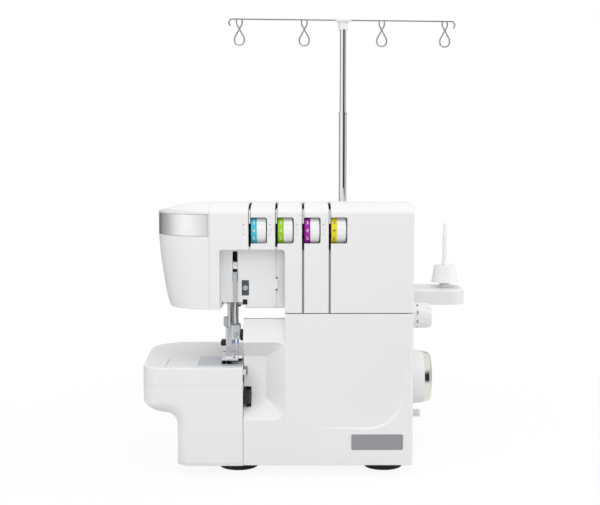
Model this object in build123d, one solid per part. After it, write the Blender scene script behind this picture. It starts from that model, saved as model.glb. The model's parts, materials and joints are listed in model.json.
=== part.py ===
"""Four-thread serger: covers, cast frame, thread stand, tension dials and stitch mechanism.

Millimetres. +Z is up, +X runs from the free arm to the handwheel,
and +Y from the front cover to the spool tray.
The origin is on the table, under the middle of the machine's outline.
"""

import math
import os

from build123d import *

# Moulded covers and fits
WALL = 2.6
FRONT_WALL = 4.4
SEAM_GAP = 0.6
RUN_FIT = 0.05
MOVE_GAP = 0.4

# Widths from the free arm's left end to the spool tray's right end
ARM_LENGTH = 109.0
HUMP_WIDTH = 44.0
PILLAR_WIDTH = 134.0
TRAY_OVERHANG = 76.0
ARM_OVERHANG = 39.5
HEAD_LENGTH = 78.0
FACE_LENGTH = 56.5

# Depths from the front face
BODY_DEPTH = 160.0
HEAD_DEPTH = 146.0
TRAY_DEPTH = 64.0
COVER_DEPTH = 26.0
PARTING_DEPTH = 60.0
FACE_NOSE_DEPTH = 47.0
FRAME_DEPTH = 66.0
FRAME_THICKNESS = 8.0

# Heights, stacked from the table up
FOOT_HEIGHT = 10.0
FLOOR_THICKNESS = 3.0
BED_HEIGHT = 114.0
CLOTH_PLATE_HEIGHT = 19.0
ARM_UNDERSIDE = 65.5
THROAT_HEIGHT = 61.0
HEAD_HEIGHT = 101.5
SEAM_STEP = 3.5
TRAY_STEP = 2.8
TRAY_THICKNESS = 17.0

# Corner radii
ARM_FRONT_RADIUS = 22.0
ARM_BACK_RADIUS = 42.0
ARM_TAPER = 5.5
ARM_BELLY_RADIUS = 26.0
ARM_WAIST_RADIUS = 12.0
BASE_CORNER_RADIUS = 15.0
TOP_EDGE_RADIUS = 4.0
SIDE_EDGE_RADIUS = 5.0
FACE_RIM_RADIUS = 1.0
TRAY_CORNER_RADIUS = 20.0

# Crowned top of the head and column
CROWN_RISE = 8.5
CROWN_DEPTH = 26.0
BACK_DROP = 4.0
FACE_DROP = 9.2

# Rubber feet
FOOT_RADIUS = 21.0
FOOT_TOP_RADIUS = 17.0
FOOT_SPREAD = 155.0
FOOT_FIRST_X = 103.0
FOOT_FRONT_DEPTH = 38.0
FOOT_BACK_DEPTH = 126.0

# Tension units in the head
SLOT_WIDTH = 2.4
SLOT_FIRST = 41.7
SLOT_PITCH = 27.6
SLOT_LENGTH = 39.7
SLOT_TOP_DEPTH = 108.0
FLARE_DEPTH = 2.4
FLARE_SPREAD = 2.0
GROOVE_DEPTH = 1.5
DIAL_BELOW_TOP = 19.2
DIAL_RADIUS = 16.2
DIAL_BAND = 5.8
DIAL_GRIP = 9.6
DIAL_FLUTES = 18
WINDOW_WIDTH = 16.8
WINDOW_HEIGHT = 27.0
WINDOW_RADIUS = 2.2
POST_RADIUS = 2.5
DISC_RADIUS = 9.5
DISC_THICKNESS = 0.8

# Recess in the head for the needle threads
RECESS_LEFT = 10.5
RECESS_BELOW_TOP = 39.1
RECESS_DEPTH = 14.0
RECESS_RADIUS = 3.0
TAKE_UP_SLOT_WIDTH = 5.2
TAKE_UP_SLOT_LENGTH = 31.5

# Chrome band round the face cover
BAND_BELOW_TOP = 2.3
BAND_HEIGHT = 23.0
BAND_THICKNESS = 1.2

# Needle bar and presser bar
NEEDLE_X = 26.0
NEEDLE_DEPTH = 30.0
BAR_RADIUS = 2.7
PRESSER_X = 19.0
PRESSER_DEPTH = 43.0
GUIDE_ABOVE_HEAD = 15.0
GUIDE_BELOW_TOP = 33.5
GUIDE_THICKNESS = 8.0
NEEDLE_DOWN = 12.0
NEEDLE_UP = 8.0
NEEDLE_CLEARANCE = 2.5
NEEDLE_LENGTH = 34.0
NEEDLE_SPACING = 3.6
CLAMP_ABOVE_BED = 25.5
CLAMP_HEIGHT = 16.5
ROCKER_DEPTH = 58.0
ROCKER_BELOW_GUIDE = 14.0
ROCKER_RADIUS = 4.0
PRESSER_LIFT = 5.2
LIFTER_ANGLE = 50.0
LIFTER_CRANK_DROP = 13.0
LIFTER_BAR_WIDTH = 5.0
LIFTER_TAB_REACH = 6.0

# Needle plate and feed
PLATE_LENGTH = 48.0
PLATE_FRONT = 12.0
PLATE_BACK = 65.0
PLATE_THICKNESS = 2.0
FEED_STROKE = 1.8
FEED_BAR_WIDTH = 3.2
FEED_TEETH = 12

# Main shaft, motor and belt
SHAFT_DEPTH = 86.0
SHAFT_BELOW_BED = 26.4
SHAFT_RADIUS = 6.0
BUSH_WALL = 3.0
BELT_WIDTH = 7.0
BELT_THICKNESS = 2.4
PULLEY_RADIUS = 24.0
MOTOR_PULLEY_RADIUS = 7.0
MOTOR_RADIUS = 17.0
MOTOR_LENGTH = 62.0
MOTOR_DEPTH = 135.0
MOTOR_HEIGHT = 48.0

# Handwheel and the controls on the right side
WHEEL_RADIUS = 30.0
WHEEL_WIDTH = 17.0
RING_WIDTH = 8.2
STITCH_DIAL_RADIUS = 13.8
STITCH_DIAL_LENGTH = 25.0
STITCH_DIAL_DEPTH = 70.0
STITCH_DIAL_BELOW_SEAM = 13.0
FEED_LEVER_DEPTH = 70.0
FEED_LEVER_BELOW_SHAFT = 37.6
FEED_LEVER_BACK_TRAVEL = 18.0
FEED_LEVER_FRONT_TRAVEL = 12.0
SWITCH_DEPTH = 135.0
SWITCH_HEIGHT = 62.0
SWITCH_ANGLE = 12.0
INLET_HEIGHT = 36.0

# Looper cover
HINGE_DEPTH = 9.5
HINGE_HEIGHT = 18.0
HINGE_RADIUS = 2.5
COVER_FOOT = 10.6
COVER_TRAVEL = 8.0
SCOOP_DEPTH = 20.0
SCOOP_BELOW_BED = 55.7
SCOOP_ABOVE_BED = 29.0
SCOOP_SLOPE = 45.0
SCOOP_CORNER = 12.0
HUMP_ABOVE_BED = 48.5
HUMP_FACE_HEIGHT = 22.0
HUMP_LEAN = 19.0
SWOOSH_BELOW_BED = 63.5
SWOOSH_BELOW_SEAM = 24.5
SWOOSH_RADIUS = 38.0
SWOOSH_DEPTH = 2.4
BADGE_WIDTH = 54.0
BADGE_HEIGHT = 16.4
BADGE_THICKNESS = 1.0

# Controls beside the needle plate
WIDTH_DIAL_RADIUS = 7.7
WIDTH_DIAL_LENGTH = 7.0
WIDTH_DIAL_DEPTH = 10.0
WIDTH_DIAL_BELOW_BED = 32.8
FINGER_LEVER_TRAVEL = 4.0

# Thread stand
POLE_X = 67.0
STAND_DEPTH = 34.0
PIN_INNER = 46.0
PIN_OUTER = 122.0
PIN_HEIGHT = 76.0
PIN_RADIUS = 3.3
PIN_TIP_RADIUS = 2.2
CONE_HEIGHT = 20.5
CONE_RADIUS = 15.8
CONE_TOP_RADIUS = 12.3
CONE_SEAT = 6.0
POLE_LOWER_LENGTH = 207.2
POLE_UPPER_LENGTH = 105.0
POLE_RADIUS = 4.7
POLE_TUBE_WALL = 0.8
POLE_OVERLAP = 22.0
POLE_TRAVEL = 88.0
CAP_HEIGHT = 3.7
GUIDE_HALF_SPAN = 130.0
GUIDE_WIRE_RADIUS = 0.9
GUIDE_YAW = -7.0
LOOP_DROP = 29.9
LOOP_RADIUS = 5.6

# Places worked out from the sizes above
X_LEFT = -(ARM_LENGTH + HUMP_WIDTH + PILLAR_WIDTH + TRAY_OVERHANG) / 2
X_COVER = X_LEFT + ARM_LENGTH
X_PILLAR = X_COVER + HUMP_WIDTH
X_RIGHT = X_PILLAR + PILLAR_WIDTH
X_TRAY = X_RIGHT + TRAY_OVERHANG
X_BASE = X_LEFT + ARM_OVERHANG
X_SEAM = X_PILLAR - HEAD_LENGTH
X_FACE = X_SEAM - FACE_LENGTH
X_NEEDLE = X_SEAM + NEEDLE_X
X_PRESSER = X_SEAM + PRESSER_X
X_PLATE = X_COVER - PLATE_LENGTH
X_POLE = X_PILLAR + POLE_X
X_RECESS = X_SEAM + RECESS_LEFT
Y_FRONT = -(BODY_DEPTH + TRAY_DEPTH) / 2
FRAME_BACK = FRAME_DEPTH + FRAME_THICKNESS
Z_FLOOR = FOOT_HEIGHT + FLOOR_THICKNESS
Z_CLOTH = BED_HEIGHT - CLOTH_PLATE_HEIGHT
HEAD_BOTTOM = BED_HEIGHT + THROAT_HEIGHT
TOP_HEIGHT = HEAD_BOTTOM + HEAD_HEIGHT
SEAM_HEIGHT = HEAD_BOTTOM - SEAM_STEP
CREST_HEIGHT = TOP_HEIGHT + CROWN_RISE
TRAY_TOP = SEAM_HEIGHT + TRAY_STEP
SLOT_FOOT = TOP_HEIGHT - SLOT_LENGTH
DIAL_HEIGHT = TOP_HEIGHT - DIAL_BELOW_TOP
RECESS_TOP = TOP_HEIGHT - RECESS_BELOW_TOP
BAND_TOP = TOP_HEIGHT - BAND_BELOW_TOP
BAND_FOOT = BAND_TOP - BAND_HEIGHT
GUIDE_LOW = HEAD_BOTTOM + GUIDE_ABOVE_HEAD
GUIDE_HIGH = TOP_HEIGHT - GUIDE_BELOW_TOP
ROCKER_HEIGHT = GUIDE_HIGH - ROCKER_BELOW_GUIDE
TAKE_UP_SLOT_FOOT = ROCKER_HEIGHT - NEEDLE_DOWN - 14
TAKE_UP_SLOT_TOP = TAKE_UP_SLOT_FOOT + TAKE_UP_SLOT_LENGTH
NEEDLE_TIP = BED_HEIGHT + NEEDLE_CLEARANCE
CLAMP_FOOT = BED_HEIGHT + CLAMP_ABOVE_BED
SHAFT_HEIGHT = BED_HEIGHT - SHAFT_BELOW_BED
STITCH_DIAL_HEIGHT = SEAM_HEIGHT - STITCH_DIAL_BELOW_SEAM
FEED_LEVER_HEIGHT = SHAFT_HEIGHT - FEED_LEVER_BELOW_SHAFT
SCOOP_FOOT = BED_HEIGHT - SCOOP_BELOW_BED
SCOOP_TOP = BED_HEIGHT + SCOOP_ABOVE_BED
HUMP_TOP = BED_HEIGHT + HUMP_ABOVE_BED
HUMP_BREAK = BED_HEIGHT + HUMP_FACE_HEIGHT
WIDTH_DIAL_HEIGHT = BED_HEIGHT - WIDTH_DIAL_BELOW_BED
POLE_JOINT = TRAY_TOP + POLE_LOWER_LENGTH
POLE_TOP = POLE_JOINT + POLE_UPPER_LENGTH


def yd(depth):
    """Y of a depth measured from the front face."""
    return Y_FRONT + depth


def block(x0, x1, d0, d1, z0, z1):
    """Box between two X, two depths and two heights."""
    middle = Pos((x0 + x1) / 2, yd((d0 + d1) / 2), (z0 + z1) / 2)
    return middle * Box(x1 - x0, d1 - d0, z1 - z0)


def rod_x(x0, x1, depth, z, radius):
    """Round bar along X."""
    return Pos((x0 + x1) / 2, yd(depth), z) * Rot(0, 90, 0) * Cylinder(radius, x1 - x0)


def rod_y(d0, d1, x, z, radius):
    """Round bar along Y."""
    return Pos(x, yd((d0 + d1) / 2), z) * Rot(90, 0, 0) * Cylinder(radius, d1 - d0)


def rod_z(z0, z1, x, depth, radius):
    """Round bar along Z."""
    return Pos(x, yd(depth), (z0 + z1) / 2) * Cylinder(radius, z1 - z0)


def rounded_polygon(corners, radii):
    """Flat outline with a radius at each corner."""
    face = Polygon(*corners, align=None)
    for corner, radius in zip(corners, radii):
        if radius > 0:
            face = fillet(face.vertices().sort_by_distance(Vector(*corner))[0], radius)
    return face


def from_front(face, d0, d1):
    """Extrudes an outline drawn in X and Z from depth d0 to depth d1."""
    return extrude(Plane.XZ.offset(-yd(d1)) * face, amount=d1 - d0)


def from_side(face, x0, x1):
    """Extrudes an outline drawn in Y and Z from x0 to x1."""
    return extrude(Plane.YZ.offset(x0) * face, amount=x1 - x0)


def from_above(face, z0, z1):
    """Extrudes an outline drawn in X and Y from z0 to z1."""
    return extrude(Plane.XY.offset(z0) * face, amount=z1 - z0)


def upright_edges(part, x, depth):
    """Vertical edges of a part that stand at one X and depth."""
    near = 0.3
    return [
        e for e in part.edges().filter_by(Axis.Z)
        if abs(e.center().X - x) < near and abs(e.center().Y - yd(depth)) < near
    ]


def slot_x(index):
    """X of the middle of a thread slot, counted from the left."""
    return X_SEAM + SLOT_FIRST + SLOT_PITCH * index


def dial_span(index):
    """X of a tension dial's left and right faces."""
    left = slot_x(index) + SLOT_WIDTH / 2 + MOVE_GAP
    return left, left + DIAL_BAND + DIAL_GRIP


# Base, feet and frame

def base_tray():
    """Bottom pan with the lugs that carry the looper cover's hinge rod."""
    step = COVER_DEPTH - 0.2
    corners = [
        (X_BASE, yd(0)), (X_COVER, yd(0)), (X_COVER, yd(step)),
        (X_RIGHT, yd(step)), (X_RIGHT, yd(BODY_DEPTH)), (X_BASE, yd(BODY_DEPTH)),
    ]
    corner = BASE_CORNER_RADIUS
    outline = rounded_polygon(corners, [corner, 0, 0, 0, SIDE_EDGE_RADIUS, corner])
    pan = from_above(outline, FOOT_HEIGHT, Z_FLOOR)
    for x in hinge_lugs():
        pan += hinge_lug(x, step)
    return pan


def hinge_lugs():
    """Left face of each hinge lug."""
    first = X_COVER + 14
    last = X_RIGHT - 40
    return [first, (first + last) / 2, last]


LUG_WIDTH = 8.0
LUG_NOSE = HINGE_RADIUS + 1.9


def hinge_lug(x, step):
    """One lug that reaches forward from the pan to the hinge axis."""
    nose = rod_x(x, x + LUG_WIDTH, HINGE_DEPTH, HINGE_HEIGHT, LUG_NOSE)
    arm = block(x, x + LUG_WIDTH, HINGE_DEPTH, step + 6, HINGE_HEIGHT - 2, HINGE_HEIGHT + 3)
    foot = block(x, x + LUG_WIDTH, step, step + 6, FOOT_HEIGHT, HINGE_HEIGHT + 3)
    bore = rod_x(x - 1, x + LUG_WIDTH + 1, HINGE_DEPTH, HINGE_HEIGHT, HINGE_RADIUS + RUN_FIT)
    return nose + arm + foot - bore


def foot_places():
    """X and depth of each rubber foot's middle."""
    left = X_LEFT + FOOT_FIRST_X
    return [(x, d) for x in (left, left + FOOT_SPREAD) for d in (FOOT_FRONT_DEPTH, FOOT_BACK_DEPTH)]


def rubber_feet():
    """Four flared feet under the pan."""
    feet = []
    for x, depth in foot_places():
        foot = Pos(x, yd(depth), FOOT_HEIGHT / 2) * Cone(FOOT_RADIUS, FOOT_TOP_RADIUS, FOOT_HEIGHT)
        feet.append(fillet(foot.edges().sort_by(Axis.Z)[0], 1.2))
    return Compound(children=feet)


SUPPORT_FOOT = BED_HEIGHT - 10
FRAME_INSET = 25.0
SUPPORT_TOP = BED_HEIGHT - PLATE_THICKNESS
KNIFE_ROD_X = X_COVER + 8
KNIFE_ROD_DEPTH = 57.0
KNIFE_ROD_RADIUS = 4.0
KNIFE_BOSS_FOOT = BED_HEIGHT - 70
KNIFE_BOSS_TOP = KNIFE_BOSS_FOOT + 16
KNIFE_ARM_FOOT = KNIFE_BOSS_TOP + 6
KNIFE_ARM_TOP = KNIFE_ARM_FOOT + 8
LOWER_LOOPER_X = X_COVER + 17
LOWER_LOOPER_Z = BED_HEIGHT - 74
LOWER_LOOPER_DEPTH = 37.0
LOWER_LOOPER_REACH = 18.0
LOWER_LOOPER_RISE = 58.0
UPPER_LOOPER_X = X_COVER + 29
UPPER_LOOPER_Z = BED_HEIGHT - 65
UPPER_LOOPER_DEPTH = 44.0
UPPER_LOOPER_REACH = 17.0
UPPER_LOOPER_RISE = 70.0
LOOPER_SHAFT_RADIUS = 3.5
LIFTER_LEFT = X_SEAM + 3.0
LIFTER_WIDTH = 6.0
LIFTER_DEPTH = 52.0
LIFTER_Z = GUIDE_LOW + GUIDE_THICKNESS / 2
LIFTER_PIN_RADIUS = 3.0
BEARING_LEFT = X_COVER + 8
BEARING_RIGHT = X_RIGHT - 34
BEARING_LENGTH = 9.0


def main_frame():
    """Cast C-frame: bed, column and arm in one web, with its bearing blocks and bar guides."""
    low_left = X_BASE + 12
    right = X_RIGHT - FRAME_INSET
    column = X_PILLAR + WALL + 3
    arm_left = X_PRESSER - 8
    bed_top = SUPPORT_FOOT + 1
    arm_low = GUIDE_LOW - 4
    arm_top = GUIDE_HIGH + GUIDE_THICKNESS + 10
    web = rounded_polygon(
        [(low_left, Z_FLOOR), (right, Z_FLOOR), (right, arm_top), (arm_left, arm_top),
         (arm_left, arm_low), (column, arm_low), (column, bed_top), (low_left, bed_top)],
        [0, 0, 10, 4, 4, 8, 6, 4],
    )
    frame = from_front(web, FRAME_DEPTH, FRAME_BACK)
    frame += block(X_COVER - 20, right, FRAME_DEPTH - 28, BODY_DEPTH - 10, Z_FLOOR, Z_FLOOR + 6)
    for x in (BEARING_LEFT, BEARING_RIGHT):
        frame += bearing_block(x)
    frame += needle_plate_support()
    frame += bar_guides()
    frame += rocker_bosses()
    frame += looper_bosses()
    for x, z in ((LOWER_LOOPER_X, LOWER_LOOPER_Z), (UPPER_LOOPER_X, UPPER_LOOPER_Z)):
        frame -= rod_y(FRAME_DEPTH - 12, FRAME_BACK + 1, x, z, LOOPER_SHAFT_RADIUS + RUN_FIT)
    bore = KNIFE_ROD_RADIUS + RUN_FIT
    frame -= rod_z(KNIFE_BOSS_FOOT - 16, KNIFE_BOSS_TOP + 1, KNIFE_ROD_X, KNIFE_ROD_DEPTH, bore)
    frame += motor_saddle()
    frame += tension_standoffs()
    return frame


def bearing_block(x):
    """Block on the back of the web, bored for a bush of the main shaft."""
    half = SHAFT_RADIUS + BUSH_WALL + 6
    body = block(x, x + BEARING_LENGTH, FRAME_BACK, SHAFT_DEPTH + half, SHAFT_HEIGHT - half,
                 SHAFT_HEIGHT + half)
    return body - rod_x(x - 1, x + BEARING_LENGTH + 1, SHAFT_DEPTH, SHAFT_HEIGHT, SHAFT_RADIUS + BUSH_WALL)


def needle_plate_support():
    """Pads that carry the needle plate, cantilevered forward from the web."""
    left = X_PLATE + 1
    pad = block(left, left + 8, PLATE_FRONT + 1, PLATE_BACK, SUPPORT_FOOT - 4, SUPPORT_TOP)
    back = block(left, X_COVER - 1, PLATE_BACK - 6, PLATE_BACK, SUPPORT_FOOT + 2, SUPPORT_TOP)
    front = block(left, X_NEEDLE - 8, PLATE_FRONT + 1, PLATE_FRONT + 6, SUPPORT_FOOT, SUPPORT_TOP)
    neck = block(left, X_COVER - 1, PLATE_BACK - 3, FRAME_BACK, SUPPORT_FOOT - 4, SUPPORT_FOOT + 2)
    support = pad + back + front + neck
    for x, depth in plate_screw_places():
        support -= rod_z(SUPPORT_FOOT - 6, SUPPORT_TOP + 1, x, depth, SCREW_RADIUS)
    return support


def bar_guides():
    """Two guide blocks for the needle bar and the presser bar."""
    guides = None
    left = min(X_PRESSER, X_NEEDLE) - 9
    right = max(X_PRESSER, X_NEEDLE) + 5.5
    for z in (GUIDE_LOW, GUIDE_HIGH):
        guide = block(left, right, NEEDLE_DEPTH - 7, FRAME_DEPTH, z, z + GUIDE_THICKNESS)
        guide -= rod_z(z - 1, z + GUIDE_THICKNESS + 1, X_NEEDLE, NEEDLE_DEPTH, BAR_RADIUS + RUN_FIT)
        guide -= rod_z(z - 1, z + GUIDE_THICKNESS + 1, X_PRESSER, PRESSER_DEPTH, BAR_RADIUS + RUN_FIT)
        guides = guide if guides is None else guides + guide
    return guides + rod_x(LIFTER_LEFT - 1, left + 1, LIFTER_DEPTH, LIFTER_Z, LIFTER_PIN_RADIUS)


ROCKER_LEFT = X_NEEDLE + 10
ROCKER_RIGHT = X_NEEDLE + 46


def rocker_bosses():
    """Bosses on the arm that carry the needle bar's rocker shaft."""
    bosses = None
    for x in (ROCKER_LEFT, ROCKER_RIGHT - 9):
        boss = block(x, x + 9, ROCKER_DEPTH - 8, FRAME_DEPTH, ROCKER_HEIGHT - 8, ROCKER_HEIGHT + 8)
        boss -= rod_x(x - 1, x + 10, ROCKER_DEPTH, ROCKER_HEIGHT, ROCKER_RADIUS + RUN_FIT)
        bosses = boss if bosses is None else bosses + boss
    return bosses


def looper_bosses():
    """Bosses on the front of the web for the looper shafts and the knife shaft."""
    bosses = None
    for x, z in ((LOWER_LOOPER_X, LOWER_LOOPER_Z), (UPPER_LOOPER_X, UPPER_LOOPER_Z)):
        boss = rod_y(FRAME_DEPTH - 11, FRAME_BACK, x, z, LOOPER_SHAFT_RADIUS + 3.5)
        bosses = boss if bosses is None else bosses + boss
    half = KNIFE_ROD_RADIUS + 2.5
    return bosses + block(KNIFE_ROD_X - half, KNIFE_ROD_X + half, KNIFE_ROD_DEPTH - half, FRAME_DEPTH,
                          KNIFE_BOSS_FOOT, KNIFE_BOSS_TOP)


MOTOR_RIGHT = X_RIGHT - 27
MOTOR_LEFT = MOTOR_RIGHT - MOTOR_LENGTH
BELT_LEFT = MOTOR_RIGHT + 5
MOTOR_FOOT = 5.0


def motor_saddle():
    """Block on the frame's floor that the motor's foot stands on."""
    return block(MOTOR_LEFT + 8, MOTOR_RIGHT - 8, MOTOR_DEPTH - 12, MOTOR_DEPTH + 12,
                 Z_FLOOR, MOTOR_HEIGHT - MOTOR_RADIUS - MOTOR_FOOT)


BRACKET_DEPTH = 38.0
BRACKET_THICKNESS = 2.0


def tension_standoffs():
    """Two studs from the arm's web that the tension bracket is screwed to."""
    studs = None
    for x in (slot_x(1) + SLOT_PITCH / 2, slot_x(3) + SLOT_PITCH / 2):
        stud = block(x - 5, x + 5, BRACKET_DEPTH + BRACKET_THICKNESS, FRAME_DEPTH, DIAL_HEIGHT - 10,
                     DIAL_HEIGHT + 2)
        studs = stud if studs is None else studs + stud
    return studs


def shaft_bushes():
    """Bronze bushes of the main shaft."""
    bushes = []
    for x in (BEARING_LEFT, BEARING_RIGHT):
        bush = rod_x(x, x + BEARING_LENGTH, SHAFT_DEPTH, SHAFT_HEIGHT, SHAFT_RADIUS + BUSH_WALL)
        bore = rod_x(x - 1, x + BEARING_LENGTH + 1, SHAFT_DEPTH, SHAFT_HEIGHT, SHAFT_RADIUS + RUN_FIT)
        bushes.append(bush - bore)
    return Compound(children=bushes)


# Drive

def main_shaft():
    """Main shaft with its belt pulley."""
    left = BEARING_LEFT - 4
    shaft = rod_x(left, X_RIGHT + WHEEL_WIDTH, SHAFT_DEPTH, SHAFT_HEIGHT, SHAFT_RADIUS)
    pulley = rod_x(BELT_LEFT - 1, BELT_LEFT + BELT_WIDTH + 1, SHAFT_DEPTH, SHAFT_HEIGHT, PULLEY_RADIUS)
    flange = rod_x(BELT_LEFT - 2.2, BELT_LEFT - 1, SHAFT_DEPTH, SHAFT_HEIGHT, PULLEY_RADIUS + 3)
    collar = rod_x(left - 3, left, SHAFT_DEPTH, SHAFT_HEIGHT, SHAFT_RADIUS + 3)
    return shaft + pulley + flange + collar


def motor():
    """Universal motor with its foot."""
    body = rod_x(MOTOR_LEFT, MOTOR_RIGHT, MOTOR_DEPTH, MOTOR_HEIGHT, MOTOR_RADIUS)
    foot = block(MOTOR_LEFT + 8, MOTOR_RIGHT - 8, MOTOR_DEPTH - 12, MOTOR_DEPTH + 12,
                 MOTOR_HEIGHT - MOTOR_RADIUS - MOTOR_FOOT, MOTOR_HEIGHT - MOTOR_RADIUS + 6)
    boss = rod_x(MOTOR_RIGHT, MOTOR_RIGHT + 2, MOTOR_DEPTH, MOTOR_HEIGHT, 8)
    bore = rod_x(MOTOR_RIGHT - 20, MOTOR_RIGHT + 3, MOTOR_DEPTH, MOTOR_HEIGHT, 3 + RUN_FIT)
    return body + foot + boss - bore


def motor_pulley():
    """Motor shaft with its small pulley."""
    shaft = rod_x(MOTOR_RIGHT - 19, BELT_LEFT + BELT_WIDTH + 3, MOTOR_DEPTH, MOTOR_HEIGHT, 3)
    return shaft + rod_x(BELT_LEFT - 1, BELT_LEFT + BELT_WIDTH + 1, MOTOR_DEPTH, MOTOR_HEIGHT,
                         MOTOR_PULLEY_RADIUS)


def belt_loop(grow):
    """Outline round both pulleys at a distance from their rims, in depth and height."""
    big = PULLEY_RADIUS + grow
    small = MOTOR_PULLEY_RADIUS + grow
    run_y = MOTOR_DEPTH - SHAFT_DEPTH
    run_z = MOTOR_HEIGHT - SHAFT_HEIGHT
    length = math.hypot(run_y, run_z)
    heading = math.atan2(run_z, run_y)
    tilt = math.acos((big - small) / length)

    def rim(depth, z, radius, angle):
        return (yd(depth) + radius * math.cos(angle), z + radius * math.sin(angle))

    up, down = heading + tilt, heading - tilt
    p1 = rim(SHAFT_DEPTH, SHAFT_HEIGHT, big, up)
    p2 = rim(MOTOR_DEPTH, MOTOR_HEIGHT, small, up)
    p3 = rim(MOTOR_DEPTH, MOTOR_HEIGHT, small, down)
    p4 = rim(SHAFT_DEPTH, SHAFT_HEIGHT, big, down)
    outer = rim(SHAFT_DEPTH, SHAFT_HEIGHT, big, heading + math.pi)
    inner = rim(MOTOR_DEPTH, MOTOR_HEIGHT, small, heading)
    wire = Wire([
        ThreePointArc(p1, outer, p4).edge(), Line(p4, p3).edge(),
        ThreePointArc(p3, inner, p2).edge(), Line(p2, p1).edge(),
    ])
    return Face(wire)


def drive_belt():
    """Belt from the motor pulley to the main shaft."""
    gap = 0.3
    outer = from_side(belt_loop(gap + BELT_THICKNESS), BELT_LEFT, BELT_LEFT + BELT_WIDTH)
    inner = from_side(belt_loop(gap), BELT_LEFT - 1, BELT_LEFT + BELT_WIDTH + 1)
    return outer - inner


WHEEL_LEFT = X_RIGHT + 1.0
WHEEL_RIGHT = WHEEL_LEFT + WHEEL_WIDTH


def turned(profile, depth, z):
    """Solid of revolution about an X axis from (x, radius) points."""
    face = make_face(Polyline(*[(x, r) for x, r in profile], close=True))
    return Pos(0, yd(depth), z) * revolve(face, Axis.X)


def handwheel():
    """White handwheel with a shallow dish under its chrome ring."""
    rim = turned(
        [(WHEEL_LEFT, SHAFT_RADIUS), (WHEEL_LEFT, WHEEL_RADIUS - 1.5), (WHEEL_LEFT + 1.5, WHEEL_RADIUS),
         (WHEEL_LEFT + 8, WHEEL_RADIUS - 0.4), (WHEEL_RIGHT, WHEEL_RADIUS - 1.4),
         (WHEEL_RIGHT, WHEEL_RADIUS - 6), (WHEEL_RIGHT + RING_WIDTH - 2, WHEEL_RADIUS - 7),
         (WHEEL_RIGHT + RING_WIDTH - 4, WHEEL_RADIUS - 12), (WHEEL_RIGHT + 2, 9), (WHEEL_RIGHT + 2, 0),
         (WHEEL_RIGHT - 1, 0), (WHEEL_RIGHT - 1, SHAFT_RADIUS)],
        SHAFT_DEPTH, SHAFT_HEIGHT,
    )
    return rim


def handwheel_ring():
    """Chrome ring on the handwheel's outer edge."""
    seat = WHEEL_RADIUS - 6
    return turned(
        [(WHEEL_RIGHT, seat), (WHEEL_RIGHT, WHEEL_RADIUS - 1.6), (WHEEL_RIGHT + 2, WHEEL_RADIUS - 1.7),
         (WHEEL_RIGHT + 5, WHEEL_RADIUS - 2.4), (WHEEL_RIGHT + 7, WHEEL_RADIUS - 3.6),
         (WHEEL_RIGHT + RING_WIDTH, WHEEL_RADIUS - 5.4), (WHEEL_RIGHT + RING_WIDTH, WHEEL_RADIUS - 7.0),
         (WHEEL_RIGHT + RING_WIDTH - 2, WHEEL_RADIUS - 7.0)],
        SHAFT_DEPTH, SHAFT_HEIGHT,
    )


def stitch_length_dial():
    """Stitch length knob with grip bars and its spindle."""
    left = X_RIGHT + MOVE_GAP
    right = left + STITCH_DIAL_LENGTH
    r = STITCH_DIAL_RADIUS
    knob = turned(
        [(left, 0), (left, r - 0.8), (left + 1, r), (right - 4, r - 0.3), (right - 1.2, r - 1.2),
         (right, r - 3),
         (right, 0)],
        STITCH_DIAL_DEPTH, STITCH_DIAL_HEIGHT,
    )
    flutes = 12
    for n in range(flutes):
        groove = rod_x(right - 11, right + 1, 0, 0, 1.1)
        turn = Pos(0, yd(STITCH_DIAL_DEPTH), STITCH_DIAL_HEIGHT) * Rot(360 * (n + 0.5) / flutes, 0, 0)
        knob -= turn * Pos(0, -yd(0), r + 0.3) * groove
    return knob + rod_x(X_RIGHT - WALL - 6, left + 1, STITCH_DIAL_DEPTH, STITCH_DIAL_HEIGHT, 4)


FEED_LEVER_REACH = 14.0


def differential_lever():
    """Differential feed lever: knob outside the side wall, stem in its slot, slider inside."""
    d, z = FEED_LEVER_DEPTH, FEED_LEVER_HEIGHT
    knob = block(X_RIGHT + MOVE_GAP, X_RIGHT + FEED_LEVER_REACH, d - 4.5, d + 4.5, z - 3.3, z + 3.3)
    knob = fillet(knob.edges().filter_by(Axis.X) + knob.faces().sort_by(Axis.X)[-1].edges(), 1.0)
    stem = block(X_RIGHT - WALL - 3, X_RIGHT + 2, d - 2.5, d + 2.5, z - 1.6, z + 1.6)
    slider = block(X_RIGHT - WALL - 3, X_RIGHT - WALL - MOVE_GAP, d - 8, d + 8, z - 5, z + 5)
    return knob + stem + slider


def differential_slot():
    """Slot in the side wall for the differential feed lever."""
    d, z = FEED_LEVER_DEPTH, FEED_LEVER_HEIGHT
    return block(X_RIGHT - WALL - 1, X_RIGHT + 1, d - 3 - FEED_LEVER_FRONT_TRAVEL,
                 d + 3 + FEED_LEVER_BACK_TRAVEL,
                 z - 2.1, z + 2.1)


SWITCH_HALF_WIDTH = 6.0
SWITCH_HALF_HEIGHT = 9.0
SWITCH_AXIS = 1.5


def power_switch():
    """Rocker at its lower stop, on a pin along Y."""
    half = SWITCH_HALF_HEIGHT
    lift = 1.8
    face = make_face(Polyline(
        (-3, -half), (lift, -half), (lift + 0.6, 0), (lift, half), (-3, half), close=True))
    rocker = extrude(Plane.XZ.offset(-SWITCH_HALF_WIDTH) * face, amount=2 * SWITCH_HALF_WIDTH)
    place = Pos(X_RIGHT - SWITCH_AXIS, yd(SWITCH_DEPTH), SWITCH_HEIGHT) * Rot(0, -SWITCH_ANGLE / 2, 0)
    pin = Pos(0, 0, 0) * Rot(90, 0, 0) * Cylinder(1.2, 2 * SWITCH_HALF_WIDTH + 2)
    return place * (rocker + pin)


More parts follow.
